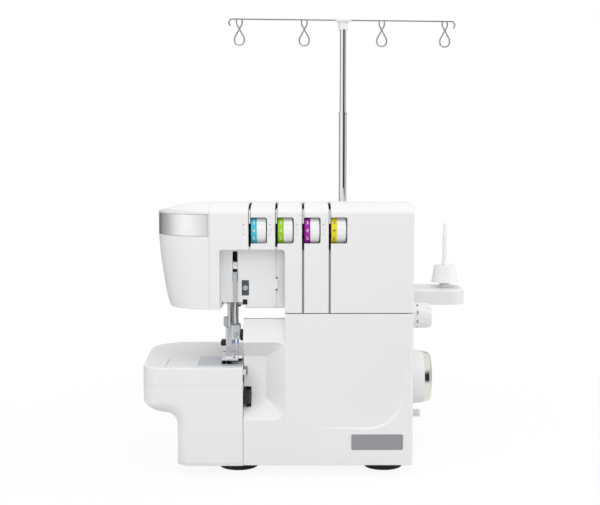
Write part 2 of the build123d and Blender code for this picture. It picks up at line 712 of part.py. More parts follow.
def switch_window():
    """Opening of the rocker in the side wall, with seats for its pin."""
    gap = 1.0
    window = block(X_RIGHT - WALL - 1, X_RIGHT + 1, SWITCH_DEPTH - SWITCH_HALF_WIDTH - MOVE_GAP,
                   SWITCH_DEPTH + SWITCH_HALF_WIDTH + MOVE_GAP,
                   SWITCH_HEIGHT - SWITCH_HALF_HEIGHT - gap, SWITCH_HEIGHT + SWITCH_HALF_HEIGHT + gap)
    return window + rod_y(SWITCH_DEPTH - SWITCH_HALF_WIDTH - 1.2, SWITCH_DEPTH + SWITCH_HALF_WIDTH + 1.2,
                          X_RIGHT - SWITCH_AXIS, SWITCH_HEIGHT, 1.2 + RUN_FIT)


INLET_HALF_WIDTH = 12.0
INLET_HALF_HEIGHT = 8.0


def power_inlet():
    """Mains and foot control socket, set in the side wall."""
    w, h = INLET_HALF_WIDTH, INLET_HALF_HEIGHT
    body = block(X_RIGHT - 11, X_RIGHT, SWITCH_DEPTH - w, SWITCH_DEPTH + w, INLET_HEIGHT - h,
                 INLET_HEIGHT + h)
    well = block(X_RIGHT - 8.5, X_RIGHT + 1, SWITCH_DEPTH - w + 2, SWITCH_DEPTH + w - 2,
                 INLET_HEIGHT - h + 2, INLET_HEIGHT + h - 2)
    socket = body - well
    for offset in (-6, 0, 6):
        socket += rod_x(X_RIGHT - 9, X_RIGHT - 5.5, SWITCH_DEPTH + offset, INLET_HEIGHT, 1.2)
    return socket


# Covers

def arm_plan(grow):
    """Free arm seen from above, grown outwards by a distance."""
    left, right = X_LEFT - grow - ARM_TAPER * ARM_BACK_RADIUS / BODY_DEPTH, X_COVER
    front, back = yd(-grow), yd(BODY_DEPTH + grow)
    return rounded_polygon(
        [(left + ARM_TAPER, front), (right, front), (right, back), (left, back)],
        [ARM_FRONT_RADIUS + grow, 0, 0, ARM_BACK_RADIUS + grow],
    )


def arm_profile(grow):
    """Free arm and the base under it seen from the front, grown outwards by a distance."""
    left, base = X_LEFT - grow, X_BASE - grow
    under = ARM_UNDERSIDE - grow
    return rounded_polygon(
        [(base, Z_FLOOR), (X_COVER, Z_FLOOR), (X_COVER, Z_CLOTH), (left, Z_CLOTH), (left, under + 3),
         (base, under - 3)],
        [0, 0, 0, 0, ARM_BELLY_RADIUS + grow, ARM_WAIST_RADIUS - grow],
    )


def arm_edge_round(grow, depth, inwards):
    """Waste that rounds the arm's lower edge at one depth; inwards is the Y direction into the body."""
    base, y = X_BASE - grow, yd(depth)
    radius = BASE_CORNER_RADIUS + grow
    outline = Plane.XZ.offset(-y) * arm_profile(grow)
    path = Wire([e for e in outline.edges() if e.center().X < base + 0.05])
    middle = radius * (1 - math.sqrt(0.5))
    start, end = (base + radius, y), (base, y + inwards * radius)
    section = make_face([
        Line(end, (base - 1, y + inwards * radius)),
        Line((base - 1, y + inwards * radius), (base - 1, y - inwards)),
        Line((base - 1, y - inwards), (base + radius, y - inwards)),
        Line((base + radius, y - inwards), start),
        ThreePointArc(start, (base + middle, y + inwards * middle), end),
    ])
    return sweep(Plane.XY.offset(Z_FLOOR) * section, path=path)


def arm_body(grow):
    """Free arm and the base under it as one closed shape, grown outwards by a distance."""
    front, back = -grow, BODY_DEPTH + grow
    body = from_front(arm_profile(grow), front, back) & from_above(arm_plan(grow), Z_FLOOR, Z_CLOTH)
    return body - arm_edge_round(grow, front, 1) - arm_edge_round(grow, back, -1)


def arm_cover():
    """Shell of the free arm and the base's left side, with a flange for the cutting width dial."""
    shell = arm_body(0) - arm_body(-WALL)
    shell += block(X_COVER - WALL, X_COVER, WALL - 0.5, COVER_DEPTH - 4, Z_FLOOR, Z_CLOTH)
    bore = rod_x(X_COVER - WALL - 1, X_COVER + 1, WIDTH_DIAL_DEPTH, WIDTH_DIAL_HEIGHT, 2.5 + RUN_FIT)
    return shell - bore


def cloth_plate():
    """Sliding cloth plate with its skirt, cut out for the needle plate."""
    outer = from_above(arm_plan(0), Z_CLOTH, BED_HEIGHT)
    rim = [e for e in outer.faces().sort_by(Axis.Z)[-1].edges() if e.center().X < X_COVER - 1]
    outer = fillet(rim, 2.2)
    inner = from_above(arm_plan(-WALL), Z_CLOTH - 1, BED_HEIGHT - WALL)
    plate = outer - inner
    plate -= block(X_PLATE - MOVE_GAP / 2, X_COVER + 1, PLATE_FRONT - MOVE_GAP / 2,
                   PLATE_BACK + MOVE_GAP / 2,
                   Z_CLOTH - 1, BED_HEIGHT + 1)
    return plate - seam_guide_groove()


def seam_guide_groove():
    """Short groove on the cloth plate that guides the fabric's edge."""
    x = X_LEFT + 28
    groove = block(x - 0.5, x + 0.5, PLATE_FRONT, PLATE_FRONT + 42, BED_HEIGHT - 0.8, BED_HEIGHT + 1)
    return groove


SCREW_RADIUS = 1.5
SCREW_HEAD = 2.8


def plate_screw_places():
    """X and depth of the needle plate's screws."""
    return [(X_PLATE + 5, PLATE_FRONT + 9), (X_PLATE + 5, PLATE_BACK - 9)]


FEED_BARS = (-13.4, -7.4)
FEED_FRONT = 24.0
FEED_BACK = 52.0


def needle_plate():
    """Steel needle plate with its feed slots, needle slot and screw holes."""
    plate = block(X_PLATE, X_COVER - 0.5, PLATE_FRONT, PLATE_BACK, SUPPORT_TOP, BED_HEIGHT)
    corner = upright_edges(plate, X_PLATE, PLATE_FRONT) + upright_edges(plate, X_PLATE, PLATE_BACK)
    plate = fillet(corner, 2.0)
    for offset in FEED_BARS:
        x = X_NEEDLE + offset
        plate -= block(x - FEED_BAR_WIDTH / 2 - MOVE_GAP, x + FEED_BAR_WIDTH / 2 + MOVE_GAP,
                       FEED_FRONT - FEED_STROKE - 1, FEED_BACK + FEED_STROKE + 1, SUPPORT_TOP - 1,
                       BED_HEIGHT + 1)
    half = NEEDLE_SPACING / 2 + 2.2
    plate -= block(X_NEEDLE - half, X_NEEDLE + half, NEEDLE_DEPTH - 2, NEEDLE_DEPTH + 3, SUPPORT_TOP - 1,
                   BED_HEIGHT + 1)
    for x, depth in plate_screw_places():
        plate -= rod_z(SUPPORT_TOP - 1, BED_HEIGHT + 1, x, depth, SCREW_RADIUS + 0.1)
        plate -= rod_z(BED_HEIGHT - 1, BED_HEIGHT + 1, x, depth, SCREW_HEAD + 0.1)
    return plate


def fixing_screws():
    """Needle plate screws and the screw of the adjuster plate in the head."""
    screws = []
    for x, depth in plate_screw_places():
        screw = rod_z(BED_HEIGHT - 1, BED_HEIGHT, x, depth, SCREW_HEAD)
        screw += rod_z(SUPPORT_TOP - 6, BED_HEIGHT - 1, x, depth, SCREW_RADIUS)
        slot = block(x - SCREW_HEAD, x + SCREW_HEAD, depth - 0.4, depth + 0.4, BED_HEIGHT - 0.5,
                     BED_HEIGHT + 1)
        screws.append(screw - slot)
    x, z = ADJUSTER_X, ADJUSTER_Z
    head = rod_y(ADJUSTER_DEPTH - 2.6, ADJUSTER_DEPTH, x, z, 2.7)
    head += rod_y(ADJUSTER_DEPTH, ADJUSTER_DEPTH + 3, x, z, SCREW_RADIUS)
    slot = Pos(x, yd(ADJUSTER_DEPTH - 2.6), z) * Rot(0, 35, 0) * Box(8, 1.6, 0.8)
    screws.append(head - slot)
    return Compound(children=screws)


def crown_radius(run, drop):
    """Radius of an arc that is level at its start and falls by a drop over a run."""
    return (run ** 2 + drop ** 2) / (2 * drop)


FRONT_CROWN_RADIUS = crown_radius(CROWN_DEPTH, CROWN_RISE)
BACK_CROWN_RADIUS = crown_radius(BODY_DEPTH - CROWN_DEPTH, CROWN_RISE + BACK_DROP)
FACE_CROWN_RADIUS = crown_radius(FACE_LENGTH, FACE_DROP)


def roof_height(depth, grow):
    """Height of the crowned top at a depth, grown outwards by a distance."""
    radius = FRONT_CROWN_RADIUS if depth < CROWN_DEPTH else BACK_CROWN_RADIUS
    return CREST_HEIGHT - radius + math.sqrt((radius + grow) ** 2 - (depth - CROWN_DEPTH) ** 2)


def roof_arc(d0, d1, grow):
    """Arc of the crowned top from one depth to another."""
    points = [(yd(d), roof_height(d, grow)) for d in (d0, (d0 + d1) / 2, d1)]
    return ThreePointArc(*points).edge()


def body_section(front, back, foot, grow):
    """Body seen from the side between two depths, from a foot up to the crowned top."""
    stops = [back, CROWN_DEPTH, front] if front < CROWN_DEPTH else [back, front]
    y0, y1 = yd(front), yd(back)
    sides = [
        Line((y0, foot), (y1, foot)).edge(),
        Line((y1, foot), (y1, roof_height(back, grow))).edge(),
        *[roof_arc(d0, d1, grow) for d0, d1 in zip(stops, stops[1:])],
        Line((y0, roof_height(front, grow)), (y0, foot)).edge(),
    ]
    return make_face(Wire(sides))


def upper_body(grow, front, back_head, back_body):
    """Arm and column above the seam between two depths, grown outwards by a distance."""
    head = body_section(front, back_head, HEAD_BOTTOM - grow, grow)
    column = body_section(front, back_body, SEAM_HEIGHT - max(-grow, 0), grow)
    body = from_side(column, X_PILLAR - grow, X_RIGHT + grow)
    return from_side(head, X_SEAM, X_PILLAR + WALL + 1) + body


def seam_opening(front, back, reach):
    """Opening between the head and its face cover, a lip inside their walls."""
    lip = SEAM_GAP
    section = body_section(front + lip, back - lip, HEAD_BOTTOM + WALL + lip, -WALL - lip)
    return from_side(section, X_SEAM - reach, X_SEAM + 1)


def top_rim(part, front, back):
    """Outer edges of the crowned top between two depths, without its crest."""
    lowest = min(roof_height(front, 0), roof_height(back, 0)) - 1
    return [
        e for e in part.edges()
        if e.center().Z > lowest and e.center().X > X_SEAM + 1
        and yd(front) < e.center().Y < yd(back) and abs(e.center().Y - yd(CROWN_DEPTH)) > 0.1
    ]


def recess_cut(grow):
    """Recess for the needle threads, open below, grown outwards by a distance."""
    face = rounded_polygon(
        [(X_RECESS - grow, HEAD_BOTTOM - 9), (X_PILLAR + 0.01, HEAD_BOTTOM - 9),
         (X_PILLAR + 0.01, RECESS_TOP + grow), (X_RECESS - grow, RECESS_TOP + grow)],
        [0, 0, RECESS_RADIUS + grow, RECESS_RADIUS + grow],
    )
    return from_front(face, -1, RECESS_DEPTH + grow)


ADJUSTER_X = X_NEEDLE + 10.6
ADJUSTER_Z = HEAD_BOTTOM + 21
ADJUSTER_HALF_WIDTH = 3.8
ADJUSTER_HALF_HEIGHT = 8.2
ADJUSTER_DEPTH = RECESS_DEPTH + WALL


def dial_window(index):
    """Opening in the front cover for one tension dial, joined to its thread slot."""
    x = slot_x(index)
    z0, z1 = DIAL_HEIGHT - WINDOW_HEIGHT / 2, DIAL_HEIGHT + WINDOW_HEIGHT / 2
    right = x + SLOT_WIDTH / 2 + WINDOW_WIDTH
    face = rounded_polygon([(x, z0), (right, z0), (right, z1), (x, z1)],
                           [0, WINDOW_RADIUS, WINDOW_RADIUS, 0])
    return from_front(face, -1, WALL + 1)


def thread_slot(index):
    """Thread slot up the front face and back over the top, with a flared mouth at the crest."""
    x, half = slot_x(index), SLOT_WIDTH / 2
    outside = body_section(-1, SLOT_TOP_DEPTH, SLOT_FOOT, 1)
    inside = body_section(WALL + 1, SLOT_TOP_DEPTH + 1, SLOT_FOOT - 1, -WALL - 1)
    slot = from_side(outside, x - half, x + half) - from_side(inside, x - half - 1, x + half + 1)
    low, high = CREST_HEIGHT - FLARE_DEPTH, CREST_HEIGHT + 0.1
    mouth = half + FLARE_SPREAD
    flare = make_face(Polyline(
        (x - half, low), (x + half, low), (x + mouth, high), (x - mouth, high), close=True))
    return slot + from_front(flare, 8, SLOT_TOP_DEPTH)


def front_cover():
    """Front shell of the arm and column with dial windows, thread slots and the needle recess."""
    outer = upper_body(0, 0, PARTING_DEPTH, PARTING_DEPTH)
    outer = fillet(upright_edges(outer, X_RIGHT, 0), SIDE_EDGE_RADIUS)
    outer = fillet(top_rim(outer, -1, PARTING_DEPTH - 1), TOP_EDGE_RADIUS)
    outer -= recess_cut(0)
    inner = upper_body(-WALL, WALL, PARTING_DEPTH + 1, PARTING_DEPTH + 1) - recess_cut(WALL)
    inner += seam_opening(WALL, PARTING_DEPTH + 1, 1)
    inner += block(X_PILLAR + WALL, X_RIGHT - WALL, WALL, PARTING_DEPTH + 1, SEAM_HEIGHT - 1,
                   SEAM_HEIGHT + WALL + 2)
    shell = outer - inner
    for n in range(4):
        shell -= thread_slot(n)
        shell -= dial_window(n)
    half = 1.1
    for n in (2, 3):
        x = slot_x(n)
        shell -= block(x - half, x + half, -1, GROOVE_DEPTH, SEAM_HEIGHT - 1, SLOT_FOOT + 1)
    x = slot_x(1)
    shell -= block(x - 0.6, x + 0.6, RECESS_DEPTH - 1, RECESS_DEPTH + 0.8, HEAD_BOTTOM - 1, RECESS_TOP - 2)
    half = TAKE_UP_SLOT_WIDTH / 2
    shell -= block(X_NEEDLE - half, X_NEEDLE + half, RECESS_DEPTH - 1, RECESS_DEPTH + WALL + 1,
                   TAKE_UP_SLOT_FOOT, TAKE_UP_SLOT_TOP)
    shell -= block(X_SEAM + 12, X_NEEDLE + 10, RECESS_DEPTH - 0.5, PARTING_DEPTH - 6, HEAD_BOTTOM - 5,
                   HEAD_BOTTOM + 6)
    shell -= lifter_slot()
    shell -= block(ADJUSTER_X - ADJUSTER_HALF_WIDTH, ADJUSTER_X + ADJUSTER_HALF_WIDTH, RECESS_DEPTH - 1,
                   RECESS_DEPTH + WALL + 1, ADJUSTER_Z - ADJUSTER_HALF_HEIGHT,
                   ADJUSTER_Z + ADJUSTER_HALF_HEIGHT)
    return shell


def rear_cover_upper():
    """Rear shell of the arm and column."""
    front = PARTING_DEPTH
    outer = upper_body(0, front, HEAD_DEPTH, BODY_DEPTH)
    outer = fillet(upright_edges(outer, X_RIGHT, BODY_DEPTH), SIDE_EDGE_RADIUS)
    outer = fillet(top_rim(outer, front + 1, BODY_DEPTH + 1), TOP_EDGE_RADIUS)
    inner = upper_body(-WALL, front - 1, HEAD_DEPTH - WALL, BODY_DEPTH - WALL)
    inner += seam_opening(front - 1, HEAD_DEPTH - WALL, 1)
    inner += block(X_PILLAR + WALL, X_RIGHT - WALL, front - 1, BODY_DEPTH - WALL, SEAM_HEIGHT - 1,
                   SEAM_HEIGHT + WALL + 2)
    shell = outer - inner - lifter_slot()
    for n in range(4):
        shell -= thread_slot(n)
    return shell


def rear_cover_lower():
    """Shell of the column's foot and the bed behind the looper cover, with the right side's openings."""
    front = COVER_DEPTH
    outer = block(X_COVER, X_RIGHT, front, BODY_DEPTH, Z_FLOOR, BED_HEIGHT)
    outer += block(X_PILLAR, X_RIGHT, front, BODY_DEPTH, BED_HEIGHT - 1, SEAM_HEIGHT)
    outer = fillet(upright_edges(outer, X_RIGHT, BODY_DEPTH), SIDE_EDGE_RADIUS)
    inner = block(X_COVER - 1, X_RIGHT - WALL, front - 1, BODY_DEPTH - WALL, Z_FLOOR - 1, BED_HEIGHT - WALL)
    inner += block(X_PILLAR + WALL, X_RIGHT - WALL, front - 1, BODY_DEPTH - WALL, BED_HEIGHT - WALL - 1,
                   SEAM_HEIGHT + 1)
    inner += block(X_COVER - 1, X_PILLAR + WALL, front - 1, FRAME_BACK, SUPPORT_FOOT - 12, BED_HEIGHT + 1)
    shell = outer - inner
    shell -= rod_x(X_RIGHT - WALL - 1, X_RIGHT + 1, SHAFT_DEPTH, SHAFT_HEIGHT, SHAFT_RADIUS + 0.8)
    shell -= rod_x(X_RIGHT - WALL - 1, X_RIGHT + 1, STITCH_DIAL_DEPTH, STITCH_DIAL_HEIGHT, 4 + RUN_FIT)
    shell -= differential_slot()
    shell -= switch_window()
    shell -= block(X_RIGHT - WALL - 1, X_RIGHT + 1, SWITCH_DEPTH - INLET_HALF_WIDTH,
                   SWITCH_DEPTH + INLET_HALF_WIDTH,
                   INLET_HEIGHT - INLET_HALF_HEIGHT, INLET_HEIGHT + INLET_HALF_HEIGHT)
    for n in range(7):
        z = 60 + 7 * n
        shell -= block(X_RIGHT - 62, X_RIGHT - 22, BODY_DEPTH - WALL - 1, BODY_DEPTH + 1, z, z + 2.4)
    return shell


FACE_LEVELS = ((0.0, 12.0), (0.25, 6.0), (0.5, 2.2), (0.74, 0.2), (0.87, 0.0), (1.0, 0.0), (1.12, 0.0))
FACE_SHOULDER = 0.62
FACE_SHOULDER_DEPTH = 0.54


def face_outline(grow, inset):
    """Face cover seen from above: an elliptic nose in front that sweeps back to the head's rear."""
    nose = X_FACE + inset - grow
    front, back = yd(-grow), yd(HEAD_DEPTH + grow)
    tip = yd(FACE_NOSE_DEPTH)
    reach = X_SEAM - nose
    shoulder = (X_SEAM - FACE_SHOULDER * reach - grow * 0.5,
                tip + FACE_SHOULDER_DEPTH * (back - tip) + grow * 0.5)
    nose_arc = EllipticalCenterArc((X_SEAM, tip), reach, tip - front, start_angle=180, arc_size=90)
    rear_curve = Spline((nose, tip), shoulder, (X_SEAM, back), tangents=((0, 1), (1, 0)))
    side = Line((X_SEAM, back), (X_SEAM, front))
    return make_face(Wire([nose_arc.edge(), rear_curve.edge(), side.edge()]))


def face_crown(grow):
    """Head's section carried on over the face cover in a falling curve, grown outwards by a distance."""
    section = body_section(-5, HEAD_DEPTH + 5, HEAD_BOTTOM - 30, grow)
    axis = Axis((X_SEAM, 0, CREST_HEIGHT - FACE_CROWN_RADIUS), (0, -1, 0))
    return revolve(Plane.YZ.offset(X_SEAM) * section, axis, 80)


def face_body(grow):
    """Face cover as a closed shape, narrowing towards its foot, grown outwards by a distance."""
    foot = HEAD_BOTTOM - grow
    height = TOP_HEIGHT + grow - foot
    sections = []
    for share, inset in FACE_LEVELS:
        sections.append(Plane.XY.offset(foot + share * height) * face_outline(grow, inset))
    return loft(sections) & face_crown(grow)


def face_cover():
    """Left end cover of the head, grooved for the chrome band."""
    outer = face_body(0)
    crest = yd(CROWN_DEPTH)
    rim = [
        e for e in outer.edges()
        if e.center().Z > BAND_TOP and e.center().X < X_SEAM - 0.5 and abs(e.center().Y - crest) > 0.1
    ]
    outer = fillet(rim, FACE_RIM_RADIUS)
    return outer - face_body(-WALL) - seam_opening(WALL, HEAD_DEPTH - WALL, 0.3) - band_ring()


def band_ring():
    """Strip round the nose of the face cover between the band's foot and top."""
    outer = from_above(face_outline(1, 0), BAND_FOOT, BAND_TOP)
    inner = from_above(face_outline(-BAND_THICKNESS, 0), BAND_FOOT - 1, BAND_TOP + 1)
    ring = outer - inner
    return ring & block(X_FACE - 5, X_SEAM - 1.0, -5, HEAD_DEPTH * 0.66, BAND_FOOT, BAND_TOP)


def face_band():
    """Chrome band set in the face cover's groove."""
    return band_ring() & from_above(face_outline(0.15, 0), BAND_FOOT - 1, BAND_TOP + 1)


# Looper cover

def scoop_cut(grow):
    """Sloped hollow beside the needle, grown into the cover by a distance."""
    left = X_COVER - 60
    face = rounded_polygon(
        [(left, SCOOP_FOOT - grow), (X_PILLAR + grow, SCOOP_FOOT - grow),
         (X_PILLAR + grow, SCOOP_TOP + grow), (left, SCOOP_TOP + grow)],
        [0, SCOOP_CORNER + grow, 6 + grow, 0],
    )
    sunk = Plane.XZ.offset(-yd(0)) * face
    return extrude(sunk, amount=-(SCOOP_DEPTH + grow), taper=SCOOP_SLOPE)


def hump_cut(grow):
    """Space above the leaning top of the hump, grown into the cover by a distance."""
    z0, z1 = HUMP_BREAK - grow, SEAM_HEIGHT + 30
    lean = HUMP_LEAN / (HUMP_TOP - HUMP_BREAK)
    face = make_face(Polyline(
        (yd(-1 + grow), z0 - 1 / lean), (yd(lean * (z1 - HUMP_BREAK) + grow), z1), (yd(-20), z1),
        (yd(-20), z0 - 1 / lean), close=True))
    top = block(X_COVER - 20, X_PILLAR + grow, -20, COVER_DEPTH + 20, HUMP_TOP - grow, SEAM_HEIGHT + 20)
    return from_side(face, X_COVER - 20, X_PILLAR + grow) + top


def swoosh_cut():
    """Shallow sunk field of the front whose curved lower corner is deepest."""
    low, high = X_PILLAR + 28, X_RIGHT - 11
    foot, top = BED_HEIGHT - SWOOSH_BELOW_BED, SEAM_HEIGHT - SWOOSH_BELOW_SEAM
    ux, uz = high - low, top - foot
    length = math.hypot(ux, uz)
    ux, uz = ux / length, uz / length
    corner = SWOOSH_RADIUS * (1 - math.sqrt(0.5))
    reach = (high - corner - low) * uz - (foot + corner - foot) * ux
    tilt = math.atan2(SWOOSH_DEPTH, reach)
    normal = (uz * math.sin(tilt), -math.cos(tilt), -ux * math.sin(tilt))
    plane = Plane(origin=(low, yd(0), foot), x_dir=(ux, 0, uz), z_dir=normal)

    def flat(x, z):
        return ((x - low) * ux + (z - foot) * uz, -((x - low) * uz - (z - foot) * ux))

    far = 60
    corners = [flat(low - far, foot), flat(high, foot), flat(high, top + far), flat(low - far, top + far)]
    face = rounded_polygon(corners, [0, SWOOSH_RADIUS, 0, 0])
    return extrude(plane * face, amount=SWOOSH_DEPTH + 2, taper=-45)


def width_dial_notch():
    """Notch in the looper cover's left edge that clears the dial and the lever beside it."""
    room = 1.3
    reach = COVER_DEPTH - SEAM_GAP - HINGE_DEPTH

    def swung(lowest):
        """Height of a back corner at rest that passes just below a height as the cover swings."""
        return HINGE_HEIGHT + math.sqrt((lowest - room - HINGE_HEIGHT) ** 2 - reach ** 2)

    notch = block(X_COVER - 1, X_COVER + WIDTH_DIAL_LENGTH + MOVE_GAP + 1, -1, COVER_DEPTH + 1,
                  swung(WIDTH_DIAL_HEIGHT - WIDTH_DIAL_RADIUS),
                  WIDTH_DIAL_HEIGHT + WIDTH_DIAL_RADIUS + room)
    lever = block(X_COVER - 1, X_COVER + FINGER_KNOB_REACH + 1, -1, COVER_DEPTH + 1,
                  swung(FINGER_KNOB_FOOT), FINGER_KNOB_FOOT + FINGER_KNOB_HEIGHT + room)
    return notch + lever


BADGE_X = X_RIGHT - 37.5
BADGE_Z = 35.0


def badge_pocket(gap, depth):
    """Rounded plate outline on the looper cover from the front face to a depth."""
    w, h = BADGE_WIDTH / 2 + gap, BADGE_HEIGHT / 2 + gap
    face = rounded_polygon(
        [(BADGE_X - w, BADGE_Z - h), (BADGE_X + w, BADGE_Z - h),
         (BADGE_X + w, BADGE_Z + h), (BADGE_X - w, BADGE_Z + h)],
        [1.5] * 4)
    return from_front(face, 0, depth)


COVER_LEFT = X_COVER + MOVE_GAP
COVER_TOP = SEAM_HEIGHT - 0.9
KNUCKLE_WIDTH = 8.0


def looper_cover():
    """Hinged front cover with its scoop, leaning hump, sunk field and hinge knuckles."""
    back = COVER_DEPTH - SEAM_GAP
    outer = block(COVER_LEFT, X_RIGHT, 0, back, COVER_FOOT, COVER_TOP)
    outer = fillet(upright_edges(outer, X_RIGHT, 0), SIDE_EDGE_RADIUS)
    outer = outer - hump_cut(0) - scoop_cut(0)
    inner = block(COVER_LEFT + WALL, X_RIGHT - WALL, FRONT_WALL, back + 1, COVER_FOOT - 1, COVER_TOP - WALL)
    inner = inner - hump_cut(FRONT_WALL) - scoop_cut(FRONT_WALL)
    cover = outer - inner
    cover = cover - swoosh_cut() - badge_pocket(0.1, BADGE_THICKNESS) - width_dial_notch()
    cover -= swing_clearance()
    for x in hinge_lugs():
        cover += hinge_knuckle(x + LUG_WIDTH + 1)
    return cover


def swing_clearance():
    """Waste at the cover's lower back corner, so that it clears the pan as the cover swings."""
    reach = COVER_DEPTH - SEAM_GAP - HINGE_DEPTH
    corner = block(X_COVER - 1, X_RIGHT + 1, HINGE_DEPTH, COVER_DEPTH + 5, COVER_FOOT - 5, HINGE_HEIGHT)
    return corner - rod_x(X_COVER - 2, X_RIGHT + 2, HINGE_DEPTH, HINGE_HEIGHT, reach)


def hinge_knuckle(x):
    """Knuckle behind the front wall, bored for the hinge rod."""
    eye = rod_x(x, x + KNUCKLE_WIDTH, HINGE_DEPTH, HINGE_HEIGHT, LUG_NOSE)
    web = block(x, x + KNUCKLE_WIDTH, FRONT_WALL - 0.5, HINGE_DEPTH, HINGE_HEIGHT - 3, HINGE_HEIGHT + 3)
    return eye + web - rod_x(x - 1, x + KNUCKLE_WIDTH + 1, HINGE_DEPTH, HINGE_HEIGHT,
                             HINGE_RADIUS + RUN_FIT)


def cover_hinge_rod():
    """Rod that slides in the pan's lugs and carries the looper cover."""
    lugs = hinge_lugs()
    left = lugs[0] - COVER_TRAVEL - 3
    right = lugs[-1] + LUG_WIDTH + KNUCKLE_WIDTH + 5
    return rod_x(left, right, HINGE_DEPTH, HINGE_HEIGHT, HINGE_RADIUS)


def badge_plate():
    """Bare silver plate on the looper cover."""
    return badge_pocket(0, BADGE_THICKNESS)


def cutting_width_dial():
    """Black ribbed dial on the arm's flange, with its spindle and inner collar."""
    left = X_COVER + MOVE_GAP
    right = left + WIDTH_DIAL_LENGTH
    d, z, r = WIDTH_DIAL_DEPTH, WIDTH_DIAL_HEIGHT, WIDTH_DIAL_RADIUS
    knob = rod_x(left, right, d, z, r)
    knob = chamfer(knob.faces().sort_by(Axis.X)[-1].edges(), 0.8)
    ribs = 20
    for n in range(ribs):
        turn = Pos(0, yd(d), z) * Rot(360 * n / ribs, 0, 0)
        knob -= turn * Pos((left + right) / 2, 0, r) * Box(WIDTH_DIAL_LENGTH + 2, 1.0, 0.9)
    knob += rod_x(X_COVER - WALL - 3, left + 1, d, z, 2.5)
    return knob + rod_x(X_COVER - WALL - 3, X_COVER - WALL - MOVE_GAP, d, z, 5)


FINGER_KNOB_REACH = 3.2
FINGER_KNOB_FOOT = BED_HEIGHT - 8.4
FINGER_KNOB_HEIGHT = 5.0


def stitch_finger_lever():
    """Small lever at the needle plate's right edge that draws the stitch finger back."""
    right = X_COVER + FINGER_KNOB_REACH
    knob = block(right - 9.6, right, 5, 11, FINGER_KNOB_FOOT, FINGER_KNOB_FOOT + FINGER_KNOB_HEIGHT)
    knob = fillet(knob.faces().sort_by(Axis.X)[-1].edges(), 1.2)
    bar = block(right - 9.6, right - 5.6, 10, 24, SUPPORT_TOP - 3.6, SUPPORT_TOP - 0.8)
    return knob + bar


# Tension units

def tension_dial(index):
    """Tension dial: numbered band and fluted grip on one bore."""
    left, right = dial_span(index)
    depth = DIAL_RADIUS + 0.2
    band = rod_x(left, left + DIAL_BAND, depth, DIAL_HEIGHT, DIAL_RADIUS)
    grip = rod_x(left + DIAL_BAND, right, depth, DIAL_HEIGHT, DIAL_RADIUS - 0.3)
    grip = chamfer(grip.faces().sort_by(Axis.X)[-1].edges(), 0.8)
    for n in range(DIAL_FLUTES):
        turn = Pos(0, yd(depth), DIAL_HEIGHT) * Rot(360 * (n + 0.5) / DIAL_FLUTES, 0, 0)
        middle = left + DIAL_BAND + 1 + DIAL_GRIP / 2
        grip -= turn * Pos(middle, 0, DIAL_RADIUS) * Box(DIAL_GRIP, 1.0, 1.6)
    return (band + grip) - rod_x(left - 1, right + 1, depth, DIAL_HEIGHT, POST_RADIUS + RUN_FIT)


def tension_units():
    """Bracket with four posts, each with its tension discs, spring and slot guide."""
    solids = []
    depth = DIAL_RADIUS + 0.2
    lug = 2.0
    left = slot_x(0) - 7.4
    bracket = block(left, slot_x(3) + 12, BRACKET_DEPTH, BRACKET_DEPTH + BRACKET_THICKNESS,
                    DIAL_HEIGHT - 10, DIAL_HEIGHT + 6)
    for n in range(4):
        x = slot_x(n) - 7
        bracket += block(x, x + lug, depth - 5, BRACKET_DEPTH + 1, DIAL_HEIGHT - 5, DIAL_HEIGHT + 5)
        bracket += rod_x(x, dial_span(n)[1] + 1.5, depth, DIAL_HEIGHT, POST_RADIUS)
    solids.append(bracket)
    for n in range(4):
        x = slot_x(n)
        for side in (x - 0.3 - DISC_THICKNESS, x + 0.3):
            disc = rod_x(side, side + DISC_THICKNESS, depth, DIAL_HEIGHT, DISC_RADIUS)
            solids.append(disc - rod_x(side - 1, side + 2, depth, DIAL_HEIGHT, POST_RADIUS + 0.1))
        spring = rod_x(x - 5 + 0.2, x - 0.3 - DISC_THICKNESS - 0.2, depth, DIAL_HEIGHT, POST_RADIUS + 1.6)
        solids.append(spring - rod_x(x - 6, x + 1, depth, DIAL_HEIGHT, POST_RADIUS + 0.2))
        solids.append(slot_guide(n))
    return Compound(children=solids)


def slot_guide(index):
    """Pale tongue inside a thread slot, which leads the thread down to the discs."""
    x, half = slot_x(index), SLOT_WIDTH / 2 - 0.5
    top, foot = TOP_HEIGHT + 1.6, DIAL_HEIGHT + 7
    face = make_face(Polyline(
        (yd(1.2), foot), (yd(1.2), top - 3), (yd(3.5), top), (yd(30), top), (yd(30), top - 6),
        (yd(6), top - 6),
        close=True))
    return from_side(face, x - half, x + half)


# Needle bar and its drive

COLLAR_FOOT = ROCKER_HEIGHT - 5
COLLAR_HEIGHT = 10.0


def needle_bar():
    """Needle bar with the collar and pin that the rocker drives."""
    top = GUIDE_HIGH + GUIDE_THICKNESS + NEEDLE_DOWN + 1
    bar = rod_z(CLAMP_FOOT + 4, top, X_NEEDLE, NEEDLE_DEPTH, BAR_RADIUS)
    collar = rod_z(COLLAR_FOOT, COLLAR_FOOT + COLLAR_HEIGHT, X_NEEDLE, NEEDLE_DEPTH, BAR_RADIUS + 2.4)
    pin = rod_x(X_NEEDLE, ROCKER_ARM_LEFT + ROCKER_ARM_WIDTH + 1, NEEDLE_DEPTH, ROCKER_HEIGHT, 2)
    return bar + collar + pin


ROCKER_ARM_WIDTH = 4.0
ROCKER_ARM_LEFT = ROCKER_LEFT - 4.0


